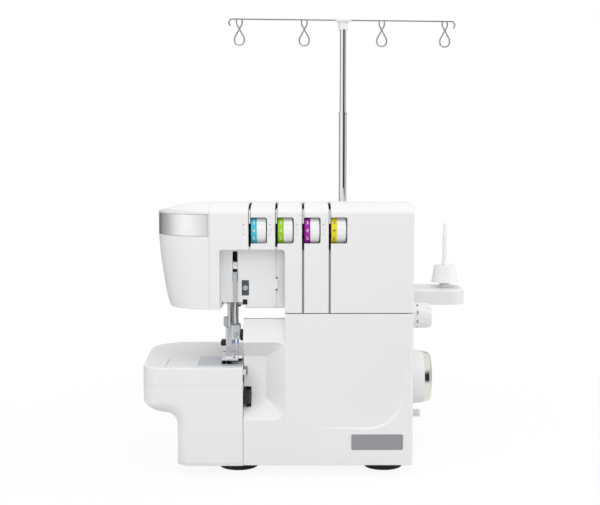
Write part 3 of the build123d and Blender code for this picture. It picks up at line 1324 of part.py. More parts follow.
def needle_rocker():
    """Rocker shaft with the forked arm that drives the needle bar's pin."""
    shaft = rod_x(ROCKER_ARM_LEFT, ROCKER_RIGHT + 3, ROCKER_DEPTH, ROCKER_HEIGHT, ROCKER_RADIUS)
    x0, x1 = ROCKER_ARM_LEFT, ROCKER_ARM_LEFT + ROCKER_ARM_WIDTH - 0.5
    arm = block(x0, x1, NEEDLE_DEPTH - 7, ROCKER_DEPTH, ROCKER_HEIGHT - 6, ROCKER_HEIGHT + 6)
    arm += rod_x(x0, x1, ROCKER_DEPTH, ROCKER_HEIGHT, 7)
    arm -= block(x0 - 1, x1 + 1, NEEDLE_DEPTH - 8, NEEDLE_DEPTH + 6, ROCKER_HEIGHT - 3.6,
                 ROCKER_HEIGHT + 3.6)
    return shaft + arm


def take_up_lever():
    """Thread take-up block on the needle bar, which looks out of the slot in the recess."""
    half = TAKE_UP_SLOT_WIDTH / 2 - MOVE_GAP
    top, foot = COLLAR_FOOT - 1, COLLAR_FOOT - 8
    arm = block(X_NEEDLE - half, X_NEEDLE + half, RECESS_DEPTH + 0.3, NEEDLE_DEPTH + 5, foot, top)
    arm -= rod_z(foot - 1, top + 1, X_NEEDLE, NEEDLE_DEPTH, BAR_RADIUS)
    arm += block(X_NEEDLE - BAR_RADIUS - 2, X_NEEDLE + BAR_RADIUS + 2, NEEDLE_DEPTH - 5, NEEDLE_DEPTH + 5,
                 foot, top)
    arm -= rod_z(foot - 1, top + 1, X_NEEDLE, NEEDLE_DEPTH, BAR_RADIUS)
    return arm


CLAMP_HALF_WIDTH = 5.0
CLAMP_FRONT = NEEDLE_DEPTH - 6.5
CLAMP_BACK = NEEDLE_DEPTH + 6.0


def needle_places():
    """X of the left and right needles."""
    return (X_NEEDLE - NEEDLE_SPACING / 2, X_NEEDLE + NEEDLE_SPACING / 2)


NEEDLE_SHANK = 1.0
NEEDLE_TOP = NEEDLE_TIP + NEEDLE_LENGTH


def needle_clamp():
    """Needle clamp on the end of the needle bar."""
    x0, x1 = X_NEEDLE - CLAMP_HALF_WIDTH, X_NEEDLE + CLAMP_HALF_WIDTH
    body = block(x0, x1, CLAMP_FRONT, CLAMP_BACK, CLAMP_FOOT, CLAMP_FOOT + CLAMP_HEIGHT)
    body = fillet(body.edges().filter_by(Axis.Z), 1.6)
    body = chamfer(body.faces().sort_by(Axis.Z)[-1].edges(), 1.0)
    body -= rod_z(CLAMP_FOOT + 4, CLAMP_FOOT + CLAMP_HEIGHT + 1, X_NEEDLE, NEEDLE_DEPTH, BAR_RADIUS)
    for x in needle_places():
        body -= rod_z(CLAMP_FOOT - 1, CLAMP_FOOT + 4, x, NEEDLE_DEPTH, NEEDLE_SHANK)
    body -= rod_y(CLAMP_FRONT - 1, CLAMP_FRONT + 2, X_NEEDLE, CLAMP_FOOT + 5, SCREW_RADIUS)
    return body - rod_x(x1 - 2, x1 + 1, NEEDLE_DEPTH - 1, CLAMP_FOOT + 4.5, SCREW_RADIUS)


def needle_clamp_screws():
    """Set screw on the clamp's front and black thumb screw on its right."""
    z = CLAMP_FOOT + 5
    head = rod_y(CLAMP_FRONT - 2.2, CLAMP_FRONT, X_NEEDLE, z, 2.4)
    head += rod_y(CLAMP_FRONT, CLAMP_FRONT + 2, X_NEEDLE, z, SCREW_RADIUS)
    head -= Pos(X_NEEDLE, yd(CLAMP_FRONT - 2.2), z) * Rot(0, 60, 0) * Box(8, 1.4, 0.8)
    x = X_NEEDLE + CLAMP_HALF_WIDTH
    z = CLAMP_FOOT + 4.5
    d = NEEDLE_DEPTH - 1
    thumb = rod_x(x - 2, x, d, z, SCREW_RADIUS)
    knob = rod_x(x, x + 2.6, d, z, 6.2)
    knob = chamfer(knob.faces().sort_by(Axis.X)[-1].edges(), 0.6)
    notches = 16
    for n in range(notches):
        turn = Pos(0, yd(d), z) * Rot(360 * n / notches, 0, 0)
        knob -= turn * Pos(x + 1.3, 0, 6.2) * Box(6, 1.0, 0.9)
    return Compound(children=[head, thumb + knob])


def needles():
    """Two needles with their shanks in the clamp."""
    found = []
    for x in needle_places():
        shank_foot = NEEDLE_TOP - 14
        top = CLAMP_FOOT + 4
        body = rod_z(shank_foot, top, x, NEEDLE_DEPTH, NEEDLE_SHANK)
        middle = Pos(x, yd(NEEDLE_DEPTH), (NEEDLE_TIP + 4 + shank_foot) / 2)
        blade = middle * Cylinder(0.5, shank_foot - NEEDLE_TIP - 4)
        point = Pos(x, yd(NEEDLE_DEPTH), NEEDLE_TIP + 2) * Cone(0.1, 0.5, 4)
        found.append(body + blade + point)
    return Compound(children=found)


# Presser bar

ANKLE_FOOT = BED_HEIGHT + 8
PRESSER_COLLAR_FOOT = GUIDE_LOW + GUIDE_THICKNESS + 1
PRESSER_COLLAR_HEIGHT = 8.0
LIFTER_HUB_RADIUS = 4.6
LIFTER_CAM_RADIUS = 8.0
LIFTER_CAM_OFFSET = 6.0
LIFTER_CAM_ANGLE = -40.0


def presser_bar():
    """Presser bar with the collar that its spring presses and its lifter raises."""
    bar = rod_z(ANKLE_FOOT + 12, GUIDE_HIGH + GUIDE_THICKNESS + 4, X_PRESSER, PRESSER_DEPTH, BAR_RADIUS)
    z0, z1 = PRESSER_COLLAR_FOOT, PRESSER_COLLAR_FOOT + PRESSER_COLLAR_HEIGHT
    collar = block(X_PRESSER - 6, X_PRESSER + 5, PRESSER_DEPTH - 5, PRESSER_DEPTH + 5, z0, z1)
    lug = block(LIFTER_LEFT + 1, X_PRESSER + 5, PRESSER_DEPTH, LIFTER_DEPTH + 8, z0, z1)
    return bar + collar + lug


def presser_spring():
    """Presser spring between the collar and the upper guide, as a plain sleeve."""
    foot, top = PRESSER_COLLAR_FOOT + PRESSER_COLLAR_HEIGHT + 0.2, GUIDE_HIGH - 0.2
    sleeve = rod_z(foot, top, X_PRESSER, PRESSER_DEPTH, BAR_RADIUS + 2.0)
    return sleeve - rod_z(foot - 1, top + 1, X_PRESSER, PRESSER_DEPTH, BAR_RADIUS + 0.5)


LIFTER_BAR_LEFT = X_PRESSER - 1.5
LIFTER_BAR_RIGHT = LIFTER_BAR_LEFT + LIFTER_BAR_WIDTH


def presser_lifter():
    """Presser foot lifter: cam on a pin, cranked to a lever that hangs behind the presser bar."""
    angle = math.radians(LIFTER_CAM_ANGLE)
    d, z = LIFTER_DEPTH, LIFTER_Z
    x0, x1 = LIFTER_LEFT, LIFTER_LEFT + LIFTER_WIDTH
    cam_depth = d + LIFTER_CAM_OFFSET * math.cos(angle)
    cam_height = z + LIFTER_CAM_OFFSET * math.sin(angle)
    cam = rod_x(x0, x1, cam_depth, cam_height, LIFTER_CAM_RADIUS)
    hub = rod_x(x0, x1, d, z, LIFTER_HUB_RADIUS)
    front, back = d - 3, d + 1
    crank_top = z - LIFTER_CRANK_DROP
    crank_foot = crank_top - LIFTER_BAR_WIDTH
    neck = block(x0 + 0.5, x1 - 0.5, front, back, crank_foot, z)
    crank = block(x0 + 0.5, LIFTER_BAR_RIGHT, front, back, crank_foot, crank_top)
    bar = block(LIFTER_BAR_LEFT, LIFTER_BAR_RIGHT, front, back, HEAD_BOTTOM - 24, crank_top)
    tab = block(LIFTER_BAR_LEFT - LIFTER_TAB_REACH, LIFTER_BAR_RIGHT, front, d + 3, HEAD_BOTTOM - 25.5,
                HEAD_BOTTOM - 15)
    tab = fillet(tab.edges().filter_by(Axis.X) + tab.edges().filter_by(Axis.Y), 1.6)
    lever = cam + hub + neck + crank + bar + tab
    return lever - rod_x(x0 - 2, x1 + 2, d, z, LIFTER_PIN_RADIUS + RUN_FIT)


def lifter_slot():
    """Opening under the head for the lifter's swing."""
    return block(X_SEAM + 1.8, LIFTER_BAR_RIGHT + 1, LIFTER_DEPTH - 6, LIFTER_DEPTH + 32,
                 HEAD_BOTTOM - 5, HEAD_BOTTOM + WALL + 1)


FOOT_AXIS_HEIGHT = BED_HEIGHT + 7.5
FOOT_AXIS_DEPTH = 41.0
FOOT_AXIS_RADIUS = 1.5
SOLE_THICKNESS = 2.2
SOLE_GAP = 0.5
SOLE_FLAT = 5.0
SOLE_RISE = 0.087


def presser_ankle():
    """Ankle on the presser bar: clamp block, shank, cross pin and the black release lever."""
    x, d = X_PRESSER, PRESSER_DEPTH
    socket = block(x - 4.6, x + 3.4, d - 5, d + 5, ANKLE_FOOT + 10, ANKLE_FOOT + 28)
    socket = fillet(socket.edges().filter_by(Axis.Z), 1.4)
    socket -= rod_z(ANKLE_FOOT + 12, ANKLE_FOOT + 29, x, d, BAR_RADIUS)
    shank = block(x - 4.0, x + 2.4, FOOT_AXIS_DEPTH - 3, FOOT_AXIS_DEPTH + 4, FOOT_AXIS_HEIGHT - 3,
                  ANKLE_FOOT + 10.5)
    ankle = socket + shank
    ankle -= rod_x(x - 10, x + 10, FOOT_AXIS_DEPTH, FOOT_AXIS_HEIGHT, FOOT_AXIS_RADIUS + RUN_FIT)
    release = block(x - 10, x - 4.4, d - 2, d + 8, ANKLE_FOOT + 8, ANKLE_FOOT + 14)
    return ankle + fillet(release.edges().filter_by(Axis.Y), 1.2)


def presser_foot():
    """Presser foot with its upturned toe, cross pin and needle slot."""
    left, right = X_PRESSER - 8.0, X_COVER - 2.2
    z0 = BED_HEIGHT + SOLE_GAP
    front = NEEDLE_DEPTH - 13
    toe_rise = SOLE_RISE * (FOOT_AXIS_DEPTH - SOLE_FLAT - front - 6)
    heel = FOOT_AXIS_DEPTH + 13
    heel_rise = SOLE_RISE * (heel - FOOT_AXIS_DEPTH - SOLE_FLAT)
    face = make_face(Polyline(
        (yd(front + 6), z0 + toe_rise), (yd(FOOT_AXIS_DEPTH - SOLE_FLAT), z0),
        (yd(FOOT_AXIS_DEPTH + SOLE_FLAT), z0),
        (yd(heel), z0 + heel_rise), (yd(heel), z0 + SOLE_THICKNESS + 0.4),
        (yd(front + 6), z0 + SOLE_THICKNESS + 0.6),
        (yd(front), z0 + SOLE_THICKNESS + 4.4), (yd(front), z0 + 4.2), close=True))
    sole = from_side(face, left, right)
    half = NEEDLE_SPACING / 2 + 1.8
    sole -= block(X_NEEDLE - half, X_NEEDLE + half, NEEDLE_DEPTH - 3, NEEDLE_DEPTH + 4, z0 - 1, z0 + 8)
    sole -= block(right - 3.4, right + 1, front - 1, NEEDLE_DEPTH + 8, z0 - 1, z0 + 8)
    for x0, x1 in ((X_PRESSER - 7.4, X_PRESSER - 4.6), (X_PRESSER + 3.0, X_PRESSER + 5.6)):
        ear = block(x0, x1, FOOT_AXIS_DEPTH - 4, FOOT_AXIS_DEPTH + 4, z0 + 1, FOOT_AXIS_HEIGHT + 3)
        sole += fillet(ear.edges().filter_by(Axis.X).sort_by(Axis.Z)[-2:], 2.4)
    return sole + rod_x(X_PRESSER - 7.4, X_PRESSER + 5.6, FOOT_AXIS_DEPTH, FOOT_AXIS_HEIGHT,
                        FOOT_AXIS_RADIUS)


# Loopers, knives and feed

def looper(x, z, plate_depth, outline):
    """Looper plate on a shaft along Y."""
    plate = from_front(outline, plate_depth, plate_depth + 3)
    hub = rod_y(plate_depth - 1, plate_depth + 5, x, z, LOOPER_SHAFT_RADIUS + 2.5)
    return plate + hub + rod_y(plate_depth, FRAME_BACK + 4, x, z, LOOPER_SHAFT_RADIUS)


def lower_looper():
    """Lower looper, whose point passes under the needle plate."""
    x, z = LOWER_LOOPER_X, LOWER_LOOPER_Z
    point, rise = x - LOWER_LOOPER_REACH, z + LOWER_LOOPER_RISE
    outline = rounded_polygon(
        [(x - 4, z), (x + 4, z), (x + 2, rise - 14), (point + 1, rise), (point, rise - 2),
         (x - 5, rise - 16)],
        [2, 2, 6, 0.6, 0.6, 5])
    return looper(x, z, LOWER_LOOPER_DEPTH, outline)


def upper_looper():
    """Upper looper, whose point rises at the right of the needle plate."""
    x, z = UPPER_LOOPER_X, UPPER_LOOPER_Z
    point, rise = x - UPPER_LOOPER_REACH, z + UPPER_LOOPER_RISE
    outline = rounded_polygon(
        [(x - 4, z), (x + 4, z), (x - 1, rise - 20), (point + 2, rise), (point, rise - 1),
         (x - 8, rise - 22)],
        [2, 2, 6, 0.6, 0.6, 5])
    return looper(x, z, UPPER_LOOPER_DEPTH, outline)


KNIFE_LEFT = X_COVER + 1.0
KNIFE_WIDTH = 2.2


def upper_knife():
    """Moving knife on an upright rod."""
    x0, x1 = KNIFE_LEFT, KNIFE_LEFT + KNIFE_WIDTH
    z0, z1 = KNIFE_ARM_FOOT, KNIFE_ARM_TOP
    rod = rod_z(KNIFE_BOSS_FOOT - 4, z1, KNIFE_ROD_X, KNIFE_ROD_DEPTH, KNIFE_ROD_RADIUS)
    head = block(x0, KNIFE_ROD_X + 5, KNIFE_ROD_DEPTH - 5, KNIFE_ROD_DEPTH + 5, z0, z1)
    arm = block(x0, x1, COVER_DEPTH + 2, KNIFE_ROD_DEPTH, z0, z1)
    blade = block(x0, x1, COVER_DEPTH + 2, COVER_DEPTH + 9, z0, BED_HEIGHT + 8)
    return rod + head + arm + blade


def lower_knife():
    """Fixed knife against the needle plate's right edge."""
    x1 = KNIFE_LEFT - 0.6
    foot = SUPPORT_FOOT - 1.5
    blade = block(x1 - 2.2, x1, COVER_DEPTH + 4, COVER_DEPTH + 12, foot, SUPPORT_TOP - 0.1)
    return blade + block(x1 - 2.2, x1, COVER_DEPTH + 4, PLATE_BACK - 3, foot, SUPPORT_FOOT + 1.9)


def feed_dogs():
    """Toothed feed bars on their carrier."""
    top = BED_HEIGHT + 0.1
    x_first, x_last = X_NEEDLE + FEED_BARS[0], X_NEEDLE + FEED_BARS[-1]
    carrier = block(x_first - 3, x_last + 3, FEED_FRONT + 1, FEED_BACK + 4, SUPPORT_FOOT - 6,
                    SUPPORT_TOP - 8)
    pitch = (FEED_BACK - FEED_FRONT) / FEED_TEETH
    for offset in FEED_BARS:
        x = X_NEEDLE + offset
        teeth = [(yd(FEED_FRONT), SUPPORT_TOP - 9)]
        for n in range(FEED_TEETH):
            teeth.append((yd(FEED_FRONT + n * pitch), top - 1.2))
            teeth.append((yd(FEED_FRONT + (n + 0.8) * pitch), top))
        teeth.append((yd(FEED_BACK), top - 1.2))
        teeth.append((yd(FEED_BACK), SUPPORT_TOP - 9))
        bar = from_side(make_face(Polyline(*teeth, close=True)), x - FEED_BAR_WIDTH / 2,
                        x + FEED_BAR_WIDTH / 2)
        carrier += bar
    return carrier


# Small guides in the recess

def thread_guides():
    """Needle thread guide strip, channel clip and adjuster plate of the recess."""
    half = 2.2
    strip = block(X_NEEDLE - half, X_NEEDLE + half, RECESS_DEPTH - 2, RECESS_DEPTH,
                  HEAD_BOTTOM + 6.2, TAKE_UP_SLOT_FOOT + 10)
    strip -= block(X_NEEDLE - 0.9, X_NEEDLE + 0.9, RECESS_DEPTH - 3, RECESS_DEPTH - 1,
                   HEAD_BOTTOM + 8, TAKE_UP_SLOT_FOOT + 7)
    strip -= block(X_NEEDLE - half - 1, X_NEEDLE + half + 1, RECESS_DEPTH - 0.35, RECESS_DEPTH + 1,
                   TAKE_UP_SLOT_FOOT - 1, TAKE_UP_SLOT_FOOT + 11)
    x = slot_x(1)
    clip = block(x - 1.3, x + 1.3, RECESS_DEPTH - 1.2, RECESS_DEPTH, HEAD_BOTTOM + 18.5, HEAD_BOTTOM + 32.5)
    plate = block(ADJUSTER_X - 5, ADJUSTER_X + 5, ADJUSTER_DEPTH, ADJUSTER_DEPTH + 1.5,
                  ADJUSTER_Z - 10, ADJUSTER_Z + 10)
    plate -= rod_y(ADJUSTER_DEPTH - 1, ADJUSTER_DEPTH + 3, ADJUSTER_X, ADJUSTER_Z, SCREW_RADIUS)
    return Compound(children=[strip, clip, plate])


# Thread stand

PIN_DEPTH = BODY_DEPTH + STAND_DEPTH


def pin_places():
    """X of each spool pin."""
    return [X_POLE + side for side in (-PIN_OUTER, -PIN_INNER, PIN_INNER, PIN_OUTER)]


def tray_plan(grow):
    """Spool tray seen from above, grown outwards by a distance."""
    half = X_TRAY - X_POLE + grow
    front, back = yd(BODY_DEPTH - min(grow, 0)), yd(BODY_DEPTH + TRAY_DEPTH + grow)
    corners = [(X_POLE - half, front), (X_POLE + half, front), (X_POLE + half, back), (X_POLE - half, back)]
    return rounded_polygon(corners, [TRAY_CORNER_RADIUS + grow] * 4)


def spool_tray():
    """Spool tray behind the body: a shell, open below, with a solid web round each pin and the pole."""
    foot = TRAY_TOP - TRAY_THICKNESS
    outer = from_above(tray_plan(0), foot, TRAY_TOP)
    outer = fillet(outer.faces().sort_by(Axis.Z)[-1].edges(), 2.4)
    tray = outer - from_above(tray_plan(-WALL), foot - 1, TRAY_TOP - WALL)
    for x in pin_places():
        tray += rod_z(foot + 4, TRAY_TOP - WALL + 0.5, x, PIN_DEPTH, PIN_RADIUS + 3)
    tray += rod_z(foot, TRAY_TOP - WALL + 0.5, X_POLE, PIN_DEPTH, POLE_RADIUS + 4)
    tray += rod_z(TRAY_TOP - 1, TRAY_TOP + 4, X_POLE, PIN_DEPTH, POLE_RADIUS + 2.5)
    for x in pin_places():
        tray -= rod_z(foot + 6, TRAY_TOP + 1, x, PIN_DEPTH, PIN_RADIUS)
    return tray - rod_z(foot + 3, TRAY_TOP + 5, X_POLE, PIN_DEPTH, POLE_RADIUS)


FLARE_RADIUS = 7.5


def spool_pins():
    """Four spool pins, each with a flared foot."""
    pins = []
    foot = TRAY_TOP - TRAY_THICKNESS
    for x in pin_places():
        stub = rod_z(foot + 6, TRAY_TOP, x, PIN_DEPTH, PIN_RADIUS)
        seat = Pos(x, yd(PIN_DEPTH), TRAY_TOP + CONE_SEAT / 2)
        flare = seat * Cone(FLARE_RADIUS, PIN_RADIUS + 1.2, CONE_SEAT)
        shaft_foot = TRAY_TOP + CONE_SEAT
        length = PIN_HEIGHT - CONE_SEAT
        shaft = Pos(x, yd(PIN_DEPTH), shaft_foot + length / 2) * Cone(PIN_RADIUS, PIN_TIP_RADIUS, length)
        pins.append(stub + flare + fillet(shaft.edges().sort_by(Axis.Z)[-1], 1.0))
    return Compound(children=pins)


def cone_adapter(index):
    """Spool cone holder that rests on a pin's flare and lifts off."""
    x = pin_places()[index]
    foot = TRAY_TOP + CONE_SEAT + 0.1
    body = Pos(x, yd(PIN_DEPTH), foot + CONE_HEIGHT / 2) * Cone(CONE_RADIUS, CONE_TOP_RADIUS, CONE_HEIGHT)
    body = fillet(body.edges().sort_by(Axis.Z)[-1], 1.0)
    hollow = Pos(x, yd(PIN_DEPTH), foot + CONE_HEIGHT / 2 - WALL / 2) * Cone(
        CONE_RADIUS - 1.8, CONE_TOP_RADIUS - 1.8, CONE_HEIGHT - WALL)
    sleeve = rod_z(foot, foot + CONE_HEIGHT - 1, x, PIN_DEPTH, PIN_RADIUS + 2)
    bore = rod_z(foot - 1, foot + CONE_HEIGHT + 1, x, PIN_DEPTH, PIN_RADIUS + 0.25)
    return body - hollow + sleeve - bore


UPPER_POLE_RADIUS = POLE_RADIUS - POLE_TUBE_WALL - RUN_FIT


def pole_lower_tube():
    """Lower tube of the telescopic pole with its rolled collar."""
    foot = TRAY_TOP - TRAY_THICKNESS + 3
    tube = rod_z(foot, POLE_JOINT, X_POLE, PIN_DEPTH, POLE_RADIUS)
    tube += rod_z(POLE_JOINT - 3, POLE_JOINT, X_POLE, PIN_DEPTH, POLE_RADIUS + 0.5)
    return tube - rod_z(foot + 2, POLE_JOINT + 1, X_POLE, PIN_DEPTH, POLE_RADIUS - POLE_TUBE_WALL)


def pole_upper_tube():
    """Upper tube of the telescopic pole."""
    foot = POLE_JOINT - POLE_OVERLAP
    tube = rod_z(foot, POLE_TOP, X_POLE, PIN_DEPTH, UPPER_POLE_RADIUS)
    return tube - rod_z(foot - 1, POLE_TOP + 1, X_POLE, PIN_DEPTH, UPPER_POLE_RADIUS - POLE_TUBE_WALL)


GUIDE_HEIGHT = POLE_TOP + CAP_HEIGHT - 1.2


def guide_cap():
    """White cap that turns on the pole's top and holds the guide wire."""
    foot, top = POLE_TOP - 8.5, POLE_TOP + CAP_HEIGHT
    profile = [(0, POLE_TOP + 0.1), (UPPER_POLE_RADIUS + RUN_FIT, POLE_TOP + 0.1),
               (UPPER_POLE_RADIUS + RUN_FIT, foot),
               (5.6, foot), (6.0, top - 3.6), (9.3, top - 2.6), (9.5, top - 1.0), (9.0, top), (0, top)]
    face = make_face(Polyline(*profile, close=True))
    cap = Pos(X_POLE, yd(PIN_DEPTH), 0) * revolve(Plane.XZ * face, Axis.Z)
    groove = Rot(0, 90, 0) * Cylinder(GUIDE_WIRE_RADIUS, 40)
    return cap - Pos(X_POLE, yd(PIN_DEPTH), GUIDE_HEIGHT) * Rot(0, 0, GUIDE_YAW * -1) * groove


def guide_loop(x):
    """Wire eye under the guide bar: two crossing legs and a round foot, in the bar's own frame."""
    r = GUIDE_WIRE_RADIUS
    top = -r
    foot = -LOOP_DROP
    spread = 3.4
    lean = r + 0.25
    path = FilletPolyline(
        (x - spread, -lean, top), (x - spread, -lean, top - 4.5), (x + LOOP_RADIUS, -lean, foot + 8.5),
        (x + LOOP_RADIUS, -lean * 0.6, foot), (x - LOOP_RADIUS, lean * 0.6, foot),
        (x - LOOP_RADIUS, lean, foot + 8.5), (x + spread, lean, top - 4.5), (x + spread, lean, top),
        radius=LOOP_RADIUS * 0.94)
    profile = Plane(origin=path @ 0, z_dir=path % 0) * Circle(r)
    return sweep(profile, path=path)


def thread_guide_bar():
    """Guide wire across the pole's top with hooked ends and four hanging eyes."""
    half = GUIDE_HALF_SPAN
    r = GUIDE_WIRE_RADIUS
    wires = []
    path = FilletPolyline(
        (-half - 2.2, 0, -8.2), (-half - 4.6, 0, -4), (-half - 2, 0, 0),
        (half + 2, 0, 0), (half + 4.6, 0, -4), (half + 2.2, 0, -8.2), radius=2.4)
    profile = Plane(origin=path @ 0, z_dir=path % 0) * Circle(r)
    wires.append(sweep(profile, path=path))
    for x in (-PIN_OUTER, -PIN_INNER, PIN_INNER, PIN_OUTER):
        wires.append(guide_loop(x))
    place = Pos(X_POLE, yd(PIN_DEPTH), GUIDE_HEIGHT) * Rot(0, 0, -GUIDE_YAW)
    return Compound(children=[place * w for w in wires])


NODES = {
    "base_tray": base_tray, "rubber_feet": rubber_feet, "main_frame": main_frame,
    "shaft_bushes": shaft_bushes,
    "main_shaft": main_shaft, "motor": motor, "motor_pulley": motor_pulley, "drive_belt": drive_belt,
    "handwheel": handwheel, "handwheel_ring": handwheel_ring, "stitch_length_dial": stitch_length_dial,
    "differential_lever": differential_lever, "power_switch": power_switch, "power_inlet": power_inlet,
    "arm_cover": arm_cover, "cloth_plate": cloth_plate, "needle_plate": needle_plate,
    "fixing_screws": fixing_screws,
    "front_cover": front_cover, "rear_cover_upper": rear_cover_upper, "rear_cover_lower": rear_cover_lower,
    "face_cover": face_cover, "face_band": face_band, "looper_cover": looper_cover,
    "cover_hinge_rod": cover_hinge_rod, "badge_plate": badge_plate,
    "cutting_width_dial": cutting_width_dial,
    "stitch_finger_lever": stitch_finger_lever, "tension_units": tension_units, "needle_bar": needle_bar,
    "needle_rocker": needle_rocker, "take_up_lever": take_up_lever, "needle_clamp": needle_clamp,
    "needle_clamp_screws": needle_clamp_screws, "needles": needles, "presser_bar": presser_bar,
    "presser_spring": presser_spring, "presser_lifter": presser_lifter, "presser_ankle": presser_ankle,
    "presser_foot": presser_foot, "lower_looper": lower_looper, "upper_looper": upper_looper,
    "upper_knife": upper_knife, "lower_knife": lower_knife, "feed_dogs": feed_dogs,
    "thread_guides": thread_guides,
    "spool_tray": spool_tray, "spool_pins": spool_pins, "pole_lower_tube": pole_lower_tube,
    "pole_upper_tube": pole_upper_tube, "guide_cap": guide_cap, "thread_guide_bar": thread_guide_bar,
}


def main():
    """Writes one STEP file for each piece."""
    os.makedirs("parts", exist_ok=True)
    for name, make in NODES.items():
        export_step(make(), f"parts/{name}.step")
    for n in range(4):
        export_step(tension_dial(n), f"parts/tension_dial_{n + 1}.step")
        export_step(cone_adapter(n), f"parts/cone_adapter_{n + 1}.step")


if __name__ == "__main__":
    main()
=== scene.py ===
"""Looks of a four-thread serger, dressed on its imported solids.

Run as a script, it loads the solids, gives each one its finish, adds the printed marks and
small fittings, and sets up the stage. Lengths are metres, in the frame of the solids.
"""

import json
import math

import bmesh
import bpy
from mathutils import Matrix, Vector


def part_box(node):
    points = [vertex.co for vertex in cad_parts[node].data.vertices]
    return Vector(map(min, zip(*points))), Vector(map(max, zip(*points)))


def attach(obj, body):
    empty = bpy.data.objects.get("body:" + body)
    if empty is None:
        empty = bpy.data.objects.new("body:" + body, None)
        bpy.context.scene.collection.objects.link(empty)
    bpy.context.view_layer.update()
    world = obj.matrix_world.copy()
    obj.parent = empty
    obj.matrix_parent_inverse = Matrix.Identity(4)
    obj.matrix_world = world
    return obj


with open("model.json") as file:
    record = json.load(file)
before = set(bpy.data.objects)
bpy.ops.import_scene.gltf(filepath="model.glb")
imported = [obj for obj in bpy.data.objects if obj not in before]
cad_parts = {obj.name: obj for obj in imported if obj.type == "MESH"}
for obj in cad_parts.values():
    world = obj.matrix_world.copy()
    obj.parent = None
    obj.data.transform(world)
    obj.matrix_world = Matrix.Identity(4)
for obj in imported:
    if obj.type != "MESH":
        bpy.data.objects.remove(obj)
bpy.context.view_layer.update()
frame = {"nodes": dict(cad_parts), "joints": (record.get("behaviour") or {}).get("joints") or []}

bl_info = {
    "name": "Serger Looks",
    "version": (1, 0, 0),
    "blender": (4, 5, 0),
    "location": "View3D > Sidebar > Serger",
    "description": "Finishes, printed marks, small fittings and stage of a four-thread serger",
    "category": "Object",
}

MM = 0.001
X_AXIS = (1.0, 0.0, 0.0)
Y_AXIS = (0.0, 1.0, 0.0)
Z_AXIS = (0.0, 0.0, 1.0)
QUARTER = math.pi / 2  # quarter turn
FAR = 10.0  # past every surface, for masks with an open side
WHITE = (1, 1, 1, 1)

# Sharp edges that the light sees slightly rounded
SHELL_EDGE = 0.6 * MM
PAN_EDGE = 0.4 * MM
LEVER_EDGE = 0.35 * MM
SMALL_EDGE = 0.3 * MM

# Places that more than one finish or fitting uses
SLOT_FROM_DIAL = 1.6 * MM  # middle of a thread slot, left of its dial
RECESS_WALL = 2.0 * MM  # back wall of the head's recess, behind the front of the thread guides


# Sizes and colours that a user may change

def colour(label, text, default):
    """Colour setting."""
    return bpy.props.FloatVectorProperty(
        name=label, description=text, subtype="COLOR", size=3, min=0.0, max=1.0, default=default)


def length(label, text, default):
    """Length setting in metres."""
    return bpy.props.FloatProperty(
        name=label, description=text, unit="LENGTH", min=0.0, default=default, precision=5)


def angle(label, text, default):
    """Angle setting in radians."""
    return bpy.props.FloatProperty(name=label, description=text, subtype="ANGLE", default=default)


def power(label, text, default):
    """Lamp setting in watts."""
    return bpy.props.FloatProperty(
        name=label, description=text, unit="POWER", min=0.0, default=default)


